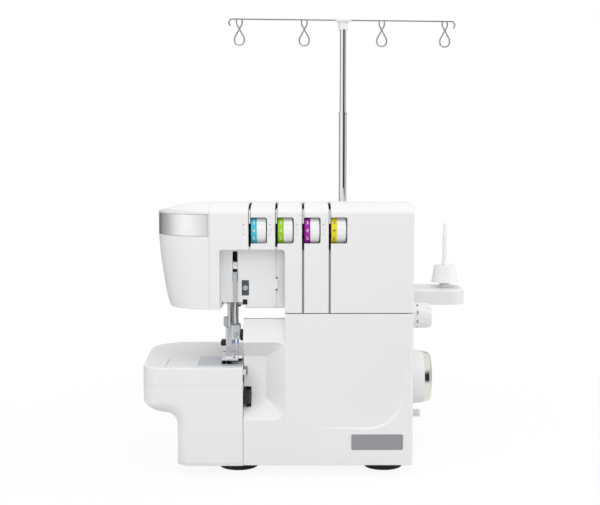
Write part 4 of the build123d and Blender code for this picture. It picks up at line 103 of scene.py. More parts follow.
class SergerColours(bpy.types.PropertyGroup):
    """Base colours of the finishes."""

    shell: colour("Shell", "Moulded white covers", (0.872, 0.876, 0.882))
    knob: colour("White knobs", "Handwheel, stitch dial, levers and cap", (0.885, 0.888, 0.892))
    milky: colour("Milky white", "Spool pins, cones and dial grips", (0.945, 0.948, 0.952))
    pale: colour("Pale grey", "Small grey levers and tongues", (0.76, 0.765, 0.77))
    grey: colour("Grey", "Bottom pan", (0.80, 0.805, 0.81))
    black: colour("Black", "Small black plastic pieces", (0.012, 0.012, 0.014))
    # Painted shade on the needle bar's upper part and the tension discs, which lie in shadow; also
    # the colour of the recess pads and the clip's eyes
    shade: colour("Shade", "Dark inner pieces", (0.006, 0.006, 0.007))
    rubber: colour("Rubber", "Feet and belt", (0.013, 0.016, 0.024))
    # Also the painted shade of the thin groove line in the recess
    seam: colour("Seams", "Shaded line where two mouldings meet", (0.76, 0.76, 0.75))
    fold: colour("Skirt seam", "Faint line under the cloth plate", (0.82, 0.822, 0.825))
    # Painted shade at the foot of the head's recess
    lip: colour("Recess lip", "Shaded foot of the head's recess", (0.60, 0.60, 0.60))
    # Painted shade, tinted greenish grey, on the floor of the thread grooves
    groove: colour("Thread grooves", "Shaded floor of the thread grooves", (0.33, 0.345, 0.285))
    chrome: colour("Chrome", "Polished plated metal", (0.90, 0.905, 0.915))
    bright: colour("Bright band", "Plated band across the face cover", (0.975, 0.976, 0.98))
    # Painted shade along the edges of the plated band
    rim: colour("Band rim", "Shaded edge of the plated band", (0.42, 0.42, 0.44))
    ring: colour("Ring", "Plated ring of the handwheel", (0.87, 0.86, 0.81))
    loop: colour("Guide wire", "Plated wire of the thread guide", (0.62, 0.63, 0.65))
    steel: colour("Steel", "Ground steel of bars, screws and loopers", (0.66, 0.67, 0.69))
    plating: colour("Plating", "Satin plated clamp, ankle and guide strip", (0.80, 0.82, 0.85))
    plate: colour("Needle plate", "Satin steel of the needle plate", (0.75, 0.78, 0.82))
    badge: colour("Badge", "Brushed bare plate on the looper cover", (0.38, 0.382, 0.405))
    adjuster: colour("Adjuster plate", "Painted plate under the adjuster screw", (0.09, 0.10, 0.12))
    # Also the painted shade on the fold of the guide strip
    casting: colour("Casting", "Frame of cast metal", (0.40, 0.41, 0.42))
    bronze: colour("Bronze", "Shaft bushes", (0.48, 0.30, 0.13))
    motor: colour("Motor", "Painted motor shell", (0.05, 0.055, 0.065))
    dial_one: colour("First dial", "Left needle tension", (0.06, 0.53, 0.70))
    dial_two: colour("Second dial", "Right needle tension", (0.33, 0.62, 0.03))
    dial_three: colour("Third dial", "Upper looper tension", (0.40, 0.018, 0.39))
    dial_four: colour("Fourth dial", "Lower looper tension", (0.84, 0.71, 0.035))
    ink_white: colour("White ink", "Numbers on the dials", (0.86, 0.87, 0.88))
    ink_dark: colour("Dark ink", "Numbers on the yellow dial", (0.045, 0.035, 0.02))
    ink_grey: colour("Grey ink", "Plus and minus marks", (0.56, 0.56, 0.55))
    ink_navy: colour("Navy ink", "Numbers of the stitch dial", (0.025, 0.03, 0.09))
    needle_blue: colour("Needle blue", "Colour code on the needle shanks", (0.02, 0.16, 0.62))


class SergerMarks(bpy.types.PropertyGroup):
    """Sizes of the printed marks and small fittings."""

    ink: length("Ink", "Height of printed marks over the surface", 0.00006)
    dial_figure: length("Dial figures", "Height of the tension dial figures", 0.0037)
    dial_step: angle("Dial step", "Angle between two tension figures", math.radians(30))
    stitch_figure: length("Stitch figures", "Height of the stitch dial figures", 0.0033)
    stitch_step: angle("Stitch step", "Angle between two stitch figures", math.radians(40))
    dot: length("Thread dots", "Radius of the coloured threading dots", 0.00095)
    wire: length("Guide wire", "Radius of the needle clamp's wire guide", 0.00045)
    screw: length("Cover screws", "Radius of the rear covers' screw heads", 0.0034)


class SergerStage(bpy.types.PropertyGroup):
    """Camera and light."""

    camera_place: bpy.props.FloatVectorProperty(
        name="Camera", description="Place of the camera", subtype="XYZ", unit="LENGTH", size=3,
        default=(-0.01706, -1.3602, 0.35857))
    camera_pitch: angle("Pitch", "Angle the camera looks down", math.radians(5.0))
    camera_yaw: angle("Yaw", "Angle the camera looks to the right", 0.0038)
    camera_lens: bpy.props.FloatProperty(
        name="Lens", description="Focal length", unit="CAMERA", min=1.0, default=72.924)
    camera_shift: bpy.props.FloatVectorProperty(
        name="Shift", description="Shift of the picture", size=2, default=(-0.00073, -0.02372))
    sky: bpy.props.FloatProperty(
        name="Sky", description="Level of the even light", min=0.0, default=0.70)
    left: power("Left", "Lamp on the left of the camera", 8.0)
    side: power("Side", "Lamp on the right side", 9.3)
    front: power("Front", "Lamp behind the camera", 6.2)
    near: power("Near", "Lamp close above the front", 1.1)
    top: power("Top", "Overhead lamp", 2.0)


# Modelling helpers

def marks_and_colours(scene):
    """Settings that the printed marks and fittings use."""
    return scene.serger_marks, scene.serger_colours


def middle(node):
    """Middle of a solid's box."""
    low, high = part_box(node)
    return (low + high) / 2


def clear_selection():
    """Leaves edit mode with nothing selected."""
    if bpy.context.object and bpy.context.object.mode != "OBJECT":
        bpy.ops.object.mode_set(mode="OBJECT")
    bpy.ops.object.select_all(action="DESELECT")


def named(piece, name):
    """Gives a piece and its data one name."""
    piece.name = name
    piece.data.name = name
    return piece


def begin(add, name, **options):
    """Adds a primitive, alone in the selection, under a name."""
    clear_selection()
    add(**options)
    return named(bpy.context.object, name)


def only(piece):
    """Selects one piece and makes it active."""
    clear_selection()
    piece.select_set(True)
    bpy.context.view_layer.objects.active = piece


def edit(piece, mode="FACE"):
    """Opens a piece in edit mode with nothing selected and returns its mesh."""
    only(piece)
    bpy.ops.object.mode_set(mode="EDIT")
    bpy.ops.mesh.select_mode(type=mode)
    bpy.ops.mesh.select_all(action="DESELECT")
    return bmesh.from_edit_mesh(piece.data)


def select_where(piece, items, test):
    """Selects the faces or edges of an open mesh that pass a test."""
    mesh = bmesh.from_edit_mesh(piece.data)
    for item in getattr(mesh, items):
        item.select_set(bool(test(item)))
    mesh.select_flush_mode()
    bmesh.update_edit_mesh(piece.data)


def place(piece, at=(0, 0, 0), turn=(0, 0, 0)):
    """Puts a piece in its place and moves the place into its mesh."""
    only(piece)
    piece.location = at
    piece.rotation_euler = turn
    bpy.ops.object.transform_apply(location=True, rotation=True, scale=True)
    return piece


def tidy_mesh(piece):
    """Merges doubled points and turns every face outwards."""
    edit(piece, "VERT")
    bpy.ops.mesh.select_all(action="SELECT")
    bpy.ops.mesh.remove_doubles(threshold=1e-7)
    bpy.ops.mesh.normals_make_consistent(inside=False)
    bpy.ops.object.mode_set(mode="OBJECT")
    return piece


def thicken(thickness):
    """Raises the open flat mesh to a slab."""
    bpy.ops.mesh.select_all(action="SELECT")
    bpy.ops.mesh.extrude_region_move(TRANSFORM_OT_translate={"value": (0, 0, thickness)})


def stand_up(piece):
    """Closes a slab in edit mode, with its faces outwards, and turns it to the front."""
    bpy.ops.mesh.select_all(action="SELECT")
    bpy.ops.mesh.normals_make_consistent(inside=False)
    bpy.ops.object.mode_set(mode="OBJECT")
    return place(piece, turn=(QUARTER, 0, 0))


def join(pieces, name):
    """Joins pieces to one under a name."""
    clear_selection()
    for piece in pieces:
        piece.select_set(True)
    bpy.context.view_layer.objects.active = pieces[0]
    bpy.ops.object.join()
    return named(bpy.context.object, name)


def copy_of(piece, name):
    """Copy of a piece with a mesh of its own."""
    only(piece)
    bpy.ops.object.duplicate(linked=False)
    return named(bpy.context.object, name)


def smooth(piece, sharpest):
    """Smooth shading that keeps edges sharper than an angle in degrees."""
    only(piece)
    bpy.ops.object.shade_smooth_by_angle(angle=math.radians(sharpest))
    return piece


def dress(piece, material, body):
    """Gives a finished piece its material and body."""
    piece.data.materials.clear()
    piece.data.materials.append(material)
    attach(piece, body)
    return piece


# Material helpers

COLOUR, VALUE, VECTOR = "NodeSocketColor", "NodeSocketFloat", "NodeSocketVector"
LOOK_OUTPUTS = (("Color", COLOUR), ("Roughness", VALUE), ("Height", VALUE))
NOISE_LOW, NOISE_HIGH = 0.3, 0.7  # ends of the range that most of a noise lies in
SCRATCH_SHARE, BROAD_SHARE = 0.7, 0.3  # parts of scratches and slow change in a metal's tone
GRAIN_DEPTH, SCRATCH_DEPTH = 0.2 * MM, 0.1 * MM
PAINT_GLOSS = 0.38  # lowest roughness of paint, plastic and painted shade over metal
GROUPS = {}


def add_node(tree, kind, inputs=None, **settings):
    """Adds a shader node, sets its options and inputs, and links the inputs given as sockets."""
    node = tree.nodes.new("ShaderNode" + kind)
    for key, value in settings.items():
        setattr(node, key, value)
    for key, value in (inputs or {}).items():
        if isinstance(value, bpy.types.NodeSocket):
            tree.links.new(value, node.inputs[key])
        else:
            node.inputs[key].default_value = value
    return node


def new_group(name, inputs, outputs):
    """Empty node group with named sockets."""
    tree = bpy.data.node_groups.new(name, "ShaderNodeTree")
    for label, kind, default in inputs:
        socket = tree.interface.new_socket(name=label, in_out="INPUT", socket_type=kind)
        socket.default_value = default
    for label, kind in outputs:
        tree.interface.new_socket(name=label, in_out="OUTPUT", socket_type=kind)
    return tree, tree.nodes.new("NodeGroupInput").outputs, tree.nodes.new("NodeGroupOutput").inputs


def empty_tree(owner):
    """Cleared node tree of a material or world."""
    owner.use_nodes = True
    owner.node_tree.nodes.clear()
    return owner.node_tree


def object_place(tree):
    """Place on a piece, in the frame of the solids."""
    return add_node(tree, "TexCoord").outputs["Object"]


def noise(tree, at, scale, detail):
    """Noise over a place."""
    node = add_node(tree, "TexNoise", {"Vector": at, "Scale": scale, "Detail": detail})
    return node.outputs["Fac"]


def between(tree, factor, first, second, blend="MIX"):
    """Mix of two colours."""
    mixed = add_node(tree, "Mix", {0: factor, 6: first, 7: second},
                     data_type="RGBA", blend_type=blend)
    return mixed.outputs[2]


def ranged(tree, value, low, high, new_low, new_high):
    """Value moved from one range to another."""
    node = add_node(tree, "MapRange", {
        "Value": value, "From Min": low, "From Max": high, "To Min": new_low, "To Max": new_high})
    return node.outputs["Result"]


def spread(tree, value, low, high):
    """Noise spread over a range."""
    return ranged(tree, value, NOISE_LOW, NOISE_HIGH, low, high)


def maths(tree, operation, *values):
    """Result of one operation on values."""
    return add_node(tree, "Math", dict(enumerate(values)), operation=operation).outputs[0]


def vector_maths(tree, operation, *values):
    """Result of one operation on vectors."""
    node = add_node(tree, "VectorMath", dict(enumerate(values)), operation=operation)
    return node.outputs["Value" if operation in ("DOT_PRODUCT", "LENGTH") else "Vector"]


def rgba(shade):
    """Colour with full cover."""
    return (*shade, 1.0)


def look_group(name, own_inputs, gloss):
    """Group of a finish, with its shade, its own inputs and the ends of its gloss."""
    return new_group(
        name,
        [("Shade", COLOUR, rgba((0.6, 0.6, 0.6))), *own_inputs,
         ("Gloss Low", VALUE, gloss[0]), ("Gloss High", VALUE, gloss[1])],
        LOOK_OUTPUTS)


def end_look(tree, given, result, tone, change, gloss, height):
    """Puts out a shade that a tone darkens by a share at most, a gloss and a height."""
    darkest = maths(tree, "SUBTRACT", 1.0, given[change])
    shaded = between(tree, 1.0, given["Shade"], spread(tree, tone, darkest, 1.0), "MULTIPLY")
    for label, value in (("Color", shaded), ("Roughness", gloss), ("Height", height)):
        tree.links.new(value, result[label])
    return tree


def moulded_group():
    """Moulded plastic: slow tone drift, uneven gloss and a fine spark-eroded grain."""
    tree, given, result = look_group(
        "moulded_plastic", [("Grain", VALUE, 2400.0), ("Drift", VALUE, 0.03)], (0.3, 0.42))
    here = object_place(tree)
    broad, cloudy = noise(tree, here, 7.0, 3.0), noise(tree, here, 120.0, 4.0)
    grain = noise(tree, here, given["Grain"], 2.0)
    gloss = spread(tree, cloudy, given["Gloss Low"], given["Gloss High"])
    return end_look(tree, given, result, broad, "Drift", gloss, grain)


def metal_group():
    """Worked metal: fine scratches along one direction and a slow change of tone."""
    tree, given, result = look_group(
        "worked_metal", [("Scratch Scale", VECTOR, (40, 4000, 4000)), ("Contrast", VALUE, 0.12)],
        (0.18, 0.34))
    here = object_place(tree)
    drawn = vector_maths(tree, "MULTIPLY", here, given["Scratch Scale"])
    scratch, broad = noise(tree, drawn, 1.0, 3.0), noise(tree, here, 60.0, 3.0)
    broad = maths(tree, "MULTIPLY", broad, BROAD_SHARE)
    both = maths(tree, "MULTIPLY_ADD", scratch, SCRATCH_SHARE, broad)
    gloss = spread(tree, both, given["Gloss High"], given["Gloss Low"])
    return end_look(tree, given, result, both, "Contrast", gloss, scratch)


def band_group():
    """Mask of the part of a surface that lies between two places along a direction."""
    tree, given, result = new_group(
        "band_mask",
        [("Direction", VECTOR, X_AXIS), ("Low", VALUE, 0.0), ("High", VALUE, 1.0)],
        [("Mask", VALUE)])
    along = vector_maths(tree, "DOT_PRODUCT", object_place(tree), given["Direction"])
    above_low = maths(tree, "GREATER_THAN", along, given["Low"])
    below_high = maths(tree, "LESS_THAN", along, given["High"])
    tree.links.new(maths(tree, "MULTIPLY", above_low, below_high), result["Mask"])
    return tree


def group_node(tree, name, inputs):
    """Places one of the shared groups with its own values."""
    if not GROUPS:
        GROUPS.update(plastic=moulded_group(), metal=metal_group(), band=band_group())
    return add_node(tree, "Group", inputs, node_tree=GROUPS[name])


def inside(*sides):
    """Mask maker of a block, from (axis, low, high) for each axis that bounds it."""
    def make_mask(tree):
        mask = None
        for axis, low, high in sides:
            node = group_node(tree, "band", {"Direction": axis, "Low": low, "High": high})
            part = node.outputs["Mask"]
            mask = part if mask is None else maths(tree, "MULTIPLY", mask, part)
        return mask
    return make_mask


def above(axis, at):
    """Mask maker of all that lies past a place on an axis."""
    return inside((axis, at, FAR))


def below(axis, at):
    """Mask maker of all that lies before a place on an axis."""
    return inside((axis, -FAR, at))


def seam(axis, at, width):
    """Mask maker of a line across an axis."""
    return inside((axis, at - width / 2, at + width / 2))


def new_finish(name):
    """Empty material with its main shader."""
    material = bpy.data.materials.new(name)
    tree = empty_tree(material)
    shader = add_node(tree, "BsdfPrincipled")
    add_node(tree, "OutputMaterial", {"Surface": shader.outputs["BSDF"]})
    return material, tree, shader


def raise_surface(tree, shader, height, strength, distance, soft_edge=0.0):
    """Feeds a height to the shader's normal, over edges that look slightly rounded."""
    inputs = {"Height": height, "Strength": strength, "Distance": distance}
    if soft_edge:
        rounded = add_node(tree, "Bevel", {"Radius": soft_edge}, samples=4)
        inputs["Normal"] = rounded.outputs["Normal"]
    bump = add_node(tree, "Bump", inputs)
    tree.links.new(bump.outputs["Normal"], shader.inputs["Normal"])


def plastic(name, shade, gloss=(0.30, 0.42), grain=2400.0, drift=0.03, bump=0.05, soft_edge=0.0,
            shine=0.5, extras=()):
    """Moulded plastic. Extras are (mask maker, colour) pairs painted over the base colour."""
    material, tree, shader = new_finish(name)
    look = group_node(tree, "plastic", {
        "Shade": rgba(shade), "Grain": grain, "Drift": drift,
        "Gloss Low": gloss[0], "Gloss High": gloss[1]}).outputs
    surface = look["Color"]
    for make_mask, over in extras:
        surface = between(tree, make_mask(tree), surface, rgba(over))
    tree.links.new(surface, shader.inputs["Base Color"])
    tree.links.new(look["Roughness"], shader.inputs["Roughness"])
    shader.inputs["Specular IOR Level"].default_value = shine
    raise_surface(tree, shader, look["Height"], bump, GRAIN_DEPTH, soft_edge)
    return material


def metal(name, shade, gloss=(0.16, 0.32), scratch=(40, 4000, 4000), contrast=0.12, bump=0.04,
          shine=1.0, extras=()):
    """Worked metal. Extras are (mask maker, colour) pairs of plastic and paint over the metal, some
    of them painted shade.
    """
    material, tree, shader = new_finish(name)
    look = group_node(tree, "metal", {
        "Shade": rgba(shade), "Scratch Scale": scratch, "Contrast": contrast,
        "Gloss Low": gloss[0], "Gloss High": gloss[1]}).outputs
    surface, roughness = look["Color"], look["Roughness"]
    shader.inputs["Metallic"].default_value = shine
    bare = None
    for make_mask, over in extras:
        mask = make_mask(tree)
        surface = between(tree, mask, surface, rgba(over))
        left = maths(tree, "SUBTRACT", 1.0, mask)
        bare = left if bare is None else maths(tree, "MULTIPLY", bare, left)
    if bare is not None:
        tree.links.new(bare, shader.inputs["Metallic"])
        painted = ranged(tree, bare, 0.0, 1.0, PAINT_GLOSS, 0.0)
        roughness = maths(tree, "MAXIMUM", roughness, painted)
    tree.links.new(surface, shader.inputs["Base Color"])
    tree.links.new(roughness, shader.inputs["Roughness"])
    raise_surface(tree, shader, look["Height"], bump, SCRATCH_DEPTH)
    return material


def ink(name, shade):
    """Printed ink with an uneven film."""
    return plastic(name, shade, gloss=(0.34, 0.52), grain=5200.0, drift=0.08, bump=0.03)


def cover(material, *nodes):
    """Gives solids their material."""
    for node in nodes:
        materials = frame["nodes"][node].data.materials
        materials.clear()
        materials.append(material)


# Finishes of the solids

SKIRT_LINE = 0.5 * MM  # seam between cloth plate and free arm
SIDE_LINE = 0.9 * MM  # seam between face cover and front cover
GROOVE_HALF = 1.2 * MM  # half a thread groove's width
GROOVE_FLOOR = (0.4 * MM, 1.9 * MM)  # its floor, behind the front
GROOVE_TOP = 20.5 * MM  # its upper end, below the dial's middle
THREAD_LINE = 1.35 * MM  # painted shade of a thin groove line in the recess, left of the clip's right side
THREAD_LINE_HALF = (0.35 * MM, 0.4 * MM)  # half its width and depth
RECESS_SHADE_DEPTH = (0.6 * MM, 3.0 * MM)  # painted shade at the foot of the recess, before and behind its wall
RECESS_SHADE_RIGHT = 7.0 * MM  # its right end, past the clip
RECESS_SHADE_TOP = 4.6 * MM  # its upper end, over the column
DIAL_BAND = 5.85 * MM  # printed width of a tension dial
BAND_EDGE_SHADE = 0.55 * MM  # width of the painted shade along the chrome band's edges
BAR_SHADE = 1.0 * MM  # start of the painted shade on the needle bar's upper part, over the guide strip
NEEDLE_CODE = (9.4 * MM, 3.9 * MM)  # coloured ring of the needles, below their tops
SCREW_ROOT = 0.1 * MM  # start of the thumb screw's head, inside the clamp's side
RELEASE_LEVER = 5.6 * MM  # width of the ankle's black lever
FOOT_SOLE = 2.0 * MM  # height of the foot's black sole
CLIP_WIDTH = 2.7 * MM  # white clip at the right of the thread guides
ADJUSTER = (7.6 * MM, 18.0 * MM)  # painted plate, from the left of the thread guides
STRIP_FOLD_SHADE = (3.6 * MM, 4.6 * MM)  # painted shade on the fold of the guide strip, from its left
TONGUE_FOOT = 6.8 * MM  # foot of the grey tongues, over the dials' middle


def shell_finishes(paint):
    """White covers with their seams, painted shade on the floor of the thread grooves, a painted
    shaded groove line in the recess and painted shade at the recess's foot.
    """
    def shell(name, *extras, **options):
        return plastic(name, paint.shell, soft_edge=SHELL_EDGE, extras=extras, **options)

    cover(shell("white_shell"), "rear_cover_upper", "rear_cover_lower", "spool_tray")
    skirt = (seam(Z_AXIS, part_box("arm_cover")[1].z, SKIRT_LINE), paint.fold)
    cover(shell("arm_shell", skirt), "arm_cover")
    cover(shell("cloth_plate_shell", skirt, gloss=(0.34, 0.44), bump=0.015), "cloth_plate")
    cover(shell("looper_cover_shell"), "looper_cover")
    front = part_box("front_cover")[0]
    side = (seam(X_AXIS, front.x, SIDE_LINE), paint.seam)
    lines = [side]
    for dial in ("tension_dial_3", "tension_dial_4"):
        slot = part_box(dial)[0].x - SLOT_FROM_DIAL
        # Painted shade on the floor of the groove under each of the two right dials
        groove = inside((X_AXIS, slot - GROOVE_HALF, slot + GROOVE_HALF),
                        (Y_AXIS, front.y + GROOVE_FLOOR[0], front.y + GROOVE_FLOOR[1]),
                        (Z_AXIS, -FAR, middle(dial).z - GROOVE_TOP))
        lines.append((groove, paint.groove))
    guides_low, guides_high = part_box("thread_guides")
    wall = guides_low.y + RECESS_WALL
    at, (half, depth) = guides_high.x - THREAD_LINE, THREAD_LINE_HALF
    # Painted shade of a thin groove line on the recess wall
    thread = inside((X_AXIS, at - half, at + half), (Y_AXIS, wall - depth, wall + depth))
    # Painted shade at the foot of the head's recess, below the thread guides
    lip = inside((X_AXIS, guides_low.x, guides_high.x + RECESS_SHADE_RIGHT),
                 (Y_AXIS, wall - RECESS_SHADE_DEPTH[0], wall + RECESS_SHADE_DEPTH[1]),
                 (Z_AXIS, -FAR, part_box("rear_cover_lower")[1].z + RECESS_SHADE_TOP))
    lines += [(thread, paint.seam), (lip, paint.lip)]
    cover(shell("front_shell", *lines), "front_cover")
    cover(shell("face_shell", side), "face_cover")


def knob_finishes(paint):
    """White knobs, grey levers and the white parts of the thread stand."""
    cover(plastic("white_knob", paint.knob, gloss=(0.26, 0.36), bump=0.02),
          "handwheel", "stitch_length_dial", "guide_cap")
    cover(plastic("milky_plastic", paint.milky, gloss=(0.30, 0.40)),
          "spool_pins", "cone_adapter_1", "cone_adapter_2", "cone_adapter_3", "cone_adapter_4")
    cover(plastic("pale_grey_plastic", paint.pale, gloss=(0.34, 0.46), soft_edge=LEVER_EDGE),
          "presser_lifter", "differential_lever")
    cover(plastic("white_lever", paint.knob, gloss=(0.3, 0.4), soft_edge=LEVER_EDGE),
          "stitch_finger_lever", "take_up_lever")


def dial_finishes(paint):
    """Coloured band and white grip of each tension dial."""
    shades = (paint.dial_one, paint.dial_two, paint.dial_three, paint.dial_four)
    for n, shade in enumerate(shades, 1):
        node = f"tension_dial_{n}"
        printed = below(X_AXIS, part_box(node)[0].x + DIAL_BAND)
        cover(plastic(f"tension_dial_finish_{n}", paint.milky, gloss=(0.2, 0.3), drift=0.02,
                      soft_edge=SMALL_EDGE, shine=0.2, extras=[(printed, shade)]), node)


def metal_finishes(paint):
    """Chrome, steel, castings and the brushed badge, with painted shade on the band's edges and on
    the needle bar's upper part.
    """
    band_low, band_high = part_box("face_band")
    # Painted shade along the band's top, bottom and right edges
    edges = (above(Z_AXIS, band_high.z - BAND_EDGE_SHADE), below(Z_AXIS, band_low.z + BAND_EDGE_SHADE),
             above(X_AXIS, band_high.x - BAND_EDGE_SHADE))
    cover(metal("band_chrome", paint.bright, gloss=(0.16, 0.24), scratch=(30, 30, 5200),
                contrast=0.10, extras=[(edge, paint.rim) for edge in edges]), "face_band")
    cover(metal("ring_chrome", paint.ring, gloss=(0.10, 0.18), scratch=(3000, 60, 60)),
          "handwheel_ring")
    cover(metal("pole_chrome", paint.chrome, gloss=(0.02, 0.05), scratch=(3000, 3000, 25),
                contrast=0.06, bump=0.01), "pole_lower_tube", "pole_upper_tube")
    cover(metal("guide_wire", paint.loop, gloss=(0.10, 0.18), scratch=(60, 3000, 3000)),
          "thread_guide_bar")
    cover(metal("brushed_badge", paint.badge, gloss=(0.30, 0.46), scratch=(60, 60, 7000),
                contrast=0.22, bump=0.10, shine=0.45), "badge_plate")
    bar = dict(gloss=(0.10, 0.20), scratch=(4200, 4200, 60), contrast=0.10, bump=0.02)
    cover(metal("bar_steel", paint.steel, **bar), "presser_bar", "presser_spring")
    # Painted shade on the needle bar's upper part, which lies in shadow inside the head
    bar_top_shade = above(Z_AXIS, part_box("thread_guides")[1].z + BAR_SHADE)
    cover(metal("needle_bar_steel", paint.steel, extras=[(bar_top_shade, paint.shade)], **bar),
          "needle_bar")
    cover(metal("ground_steel", paint.steel, gloss=(0.20, 0.36), scratch=(60, 3600, 3600)),
          "main_shaft", "motor_pulley", "needle_rocker", "lower_looper", "upper_looper",
          "upper_knife", "lower_knife", "feed_dogs", "cover_hinge_rod")
    cover(metal("satin_plating", paint.plating, gloss=(0.28, 0.42), scratch=(3200, 60, 3200),
                contrast=0.08), "needle_clamp", "fixing_screws")
    cover(metal("plate_steel", paint.plate, gloss=(0.50, 0.62), scratch=(4200, 50, 4200),
                shine=0.35), "needle_plate")
    cover(metal("cast_metal", paint.casting, gloss=(0.42, 0.62), scratch=(700, 700, 700),
                contrast=0.25, bump=0.25), "main_frame")
    cover(metal("sintered_bronze", paint.bronze, gloss=(0.34, 0.5), scratch=(1800, 1800, 1800)),
          "shaft_bushes")


def mixed_finishes(paint):
    """Solids that carry two or more materials, parted by their place."""
    needle_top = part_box("needles")[1].z
    coded = inside((Z_AXIS, needle_top - NEEDLE_CODE[0], needle_top - NEEDLE_CODE[1]))
    cover(metal("needle_steel", paint.steel, gloss=(0.08, 0.16), scratch=(5000, 5000, 80),
                extras=[(coded, paint.needle_blue)]), "needles")
    thumb = above(X_AXIS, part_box("needle_clamp")[1].x - SCREW_ROOT)
    cover(metal("clamp_screw_steel", paint.steel, extras=[(thumb, paint.black)]),
          "needle_clamp_screws")
    release = below(X_AXIS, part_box("presser_ankle")[0].x + RELEASE_LEVER)
    cover(metal("ankle_steel", paint.plating, gloss=(0.24, 0.38), scratch=(3200, 3200, 60),
                extras=[(release, paint.black)]), "presser_ankle")
    sole = below(Z_AXIS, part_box("presser_foot")[0].z + FOOT_SOLE)
    cover(metal("foot_chrome", paint.chrome, gloss=(0.10, 0.18), scratch=(3000, 60, 60),
                extras=[(sole, paint.black)]), "presser_foot")
    guides_low, guides_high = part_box("thread_guides")
    clip = above(X_AXIS, guides_high.x - CLIP_WIDTH)
    # Painted shade on the fold of the guide strip, in the casting colour; the adjuster plate is its
    # own paint
    adjuster, fold = (inside((X_AXIS, guides_low.x + start, guides_low.x + end))
                      for start, end in (ADJUSTER, STRIP_FOLD_SHADE))
    cover(metal("guide_steel", paint.plating, gloss=(0.16, 0.28), scratch=(3600, 3600, 50),
                extras=[(clip, paint.knob), (adjuster, paint.adjuster), (fold, paint.casting)]),
          "thread_guides")
    tongue_foot = middle("tension_dial_1").z + TONGUE_FOOT
    # Painted shade on the tension discs below the grey tongues, which lie in shadow in the slots
    tongue, shaded_discs = above(Z_AXIS, tongue_foot), below(Z_AXIS, tongue_foot)
    cover(metal("disc_steel", paint.steel, gloss=(0.10, 0.2),
                extras=[(tongue, paint.pale), (shaded_discs, paint.shade)]), "tension_units")


def dark_finishes(paint):
    """Black plastic, rubber, the pan and the motor."""
    cover(plastic("socket_black", paint.black, gloss=(0.4, 0.55)), "power_inlet")
    cover(plastic("black_plastic", paint.black, gloss=(0.30, 0.44), drift=0.2, bump=0.08,
                  soft_edge=SMALL_EDGE), "cutting_width_dial", "power_switch")
    cover(plastic("foot_rubber", paint.rubber, gloss=(0.55, 0.75), grain=1400.0, drift=0.3,
                  bump=0.2), "rubber_feet", "drive_belt")
    cover(plastic("grey_pan", paint.grey, gloss=(0.40, 0.55), soft_edge=PAN_EDGE), "base_tray")
    cover(plastic("motor_paint", paint.motor, gloss=(0.28, 0.44), grain=900.0, drift=0.15,
                  bump=0.12), "motor")


class SERGER_OT_finishes(bpy.types.Operator):
    """Give every solid its finish"""

    bl_idname = "serger.finishes"
    bl_label = "Finishes"

    def execute(self, context):
        for finish in (shell_finishes, knob_finishes, dial_finishes, metal_finishes,
                       mixed_finishes, dark_finishes):
            finish(context.scene.serger_colours)
        bare = [name for name, solid in frame["nodes"].items() if not solid.data.materials]
        if bare:
            raise RuntimeError(f"solids without a finish: {bare}")
        return {"FINISHED"}


# Printed marks

DIAL_COLOURS = ("blue", "green", "purple", "yellow")
FIGURE_SHARE = 0.69  # height of a figure as a share of its type size
DIAL_FIGURES = 2.9 * MM  # middle of the tension figures, from the dial's left
DIAL_FRONT = 4  # figure that faces the front at rest
STITCH_SHOULDER = 25.0 * MM  # shoulder of the stitch dial, from its right end
STITCH_FIGURES = 9.0 * MM  # middle of the stitch figures, from the shoulder
STITCH_BOLD = 0.1 * MM
STITCH_TEXTS = ((-1.5, "4"), (-0.5, "3"), (0.5, "2"), (1.5, "1"))
MARKS_FROM_SLOT = 6.4 * MM  # middle of the tension marks, left of the thread slot
SIGN_WIDTH, SIGN_BAR = 2.7 * MM, 0.5 * MM
LINE_WIDTH, LINE_BAR = 4.3 * MM, 0.45 * MM
PLUS_UP, LINE_UP, MINUS_UP = 6.1 * MM, 0.6 * MM, -4.0 * MM  # over the dial's middle
SWITCH_HALF = 9.0 * MM  # half the length of the switch's rocker
SWITCH_LEAN = math.atan2(0.6, 9.0)  # lean of its two faces
SWITCH_FACE = 2.1 * MM  # its faces, out from the axis
SWITCH_FIGURE = 4.2 * MM


def figure(text, height, thickness, bold=0.0):
    """Flat figure that faces up, with its middle at the origin."""
    clear_selection()
    bpy.ops.object.text_add(location=(0, 0, 0))
    writing = bpy.context.object.data
    writing.body = text
    writing.size = height / FIGURE_SHARE
    writing.align_x = writing.align_y = "CENTER"
    writing.extrude = thickness / 2
    writing.offset = bold
    writing.resolution_u = 4
    bpy.ops.object.convert(target="MESH")
    piece = bpy.context.object
    bpy.ops.object.origin_set(type="ORIGIN_GEOMETRY", center="BOUNDS")
    piece.location = (0, 0, 0)
    return piece


def drum_figures(name, texts, drum, x, height, step, thickness, bold=0.0):
    """Figures round a drum along X, from (steps below the front, figure) pairs."""
    low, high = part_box(drum)
    centre, radius = middle(drum), (high.z - low.z) / 2
    pieces = []
    for steps, text in texts:
        around = steps * step
        at = (x, centre.y - radius * math.cos(around), centre.z - radius * math.sin(around))
        mark = figure(text, height, 2 * thickness, bold)
        pieces.append(place(mark, at, (QUARTER + around, 0, 0)))
    return tidy_mesh(join(pieces, name))


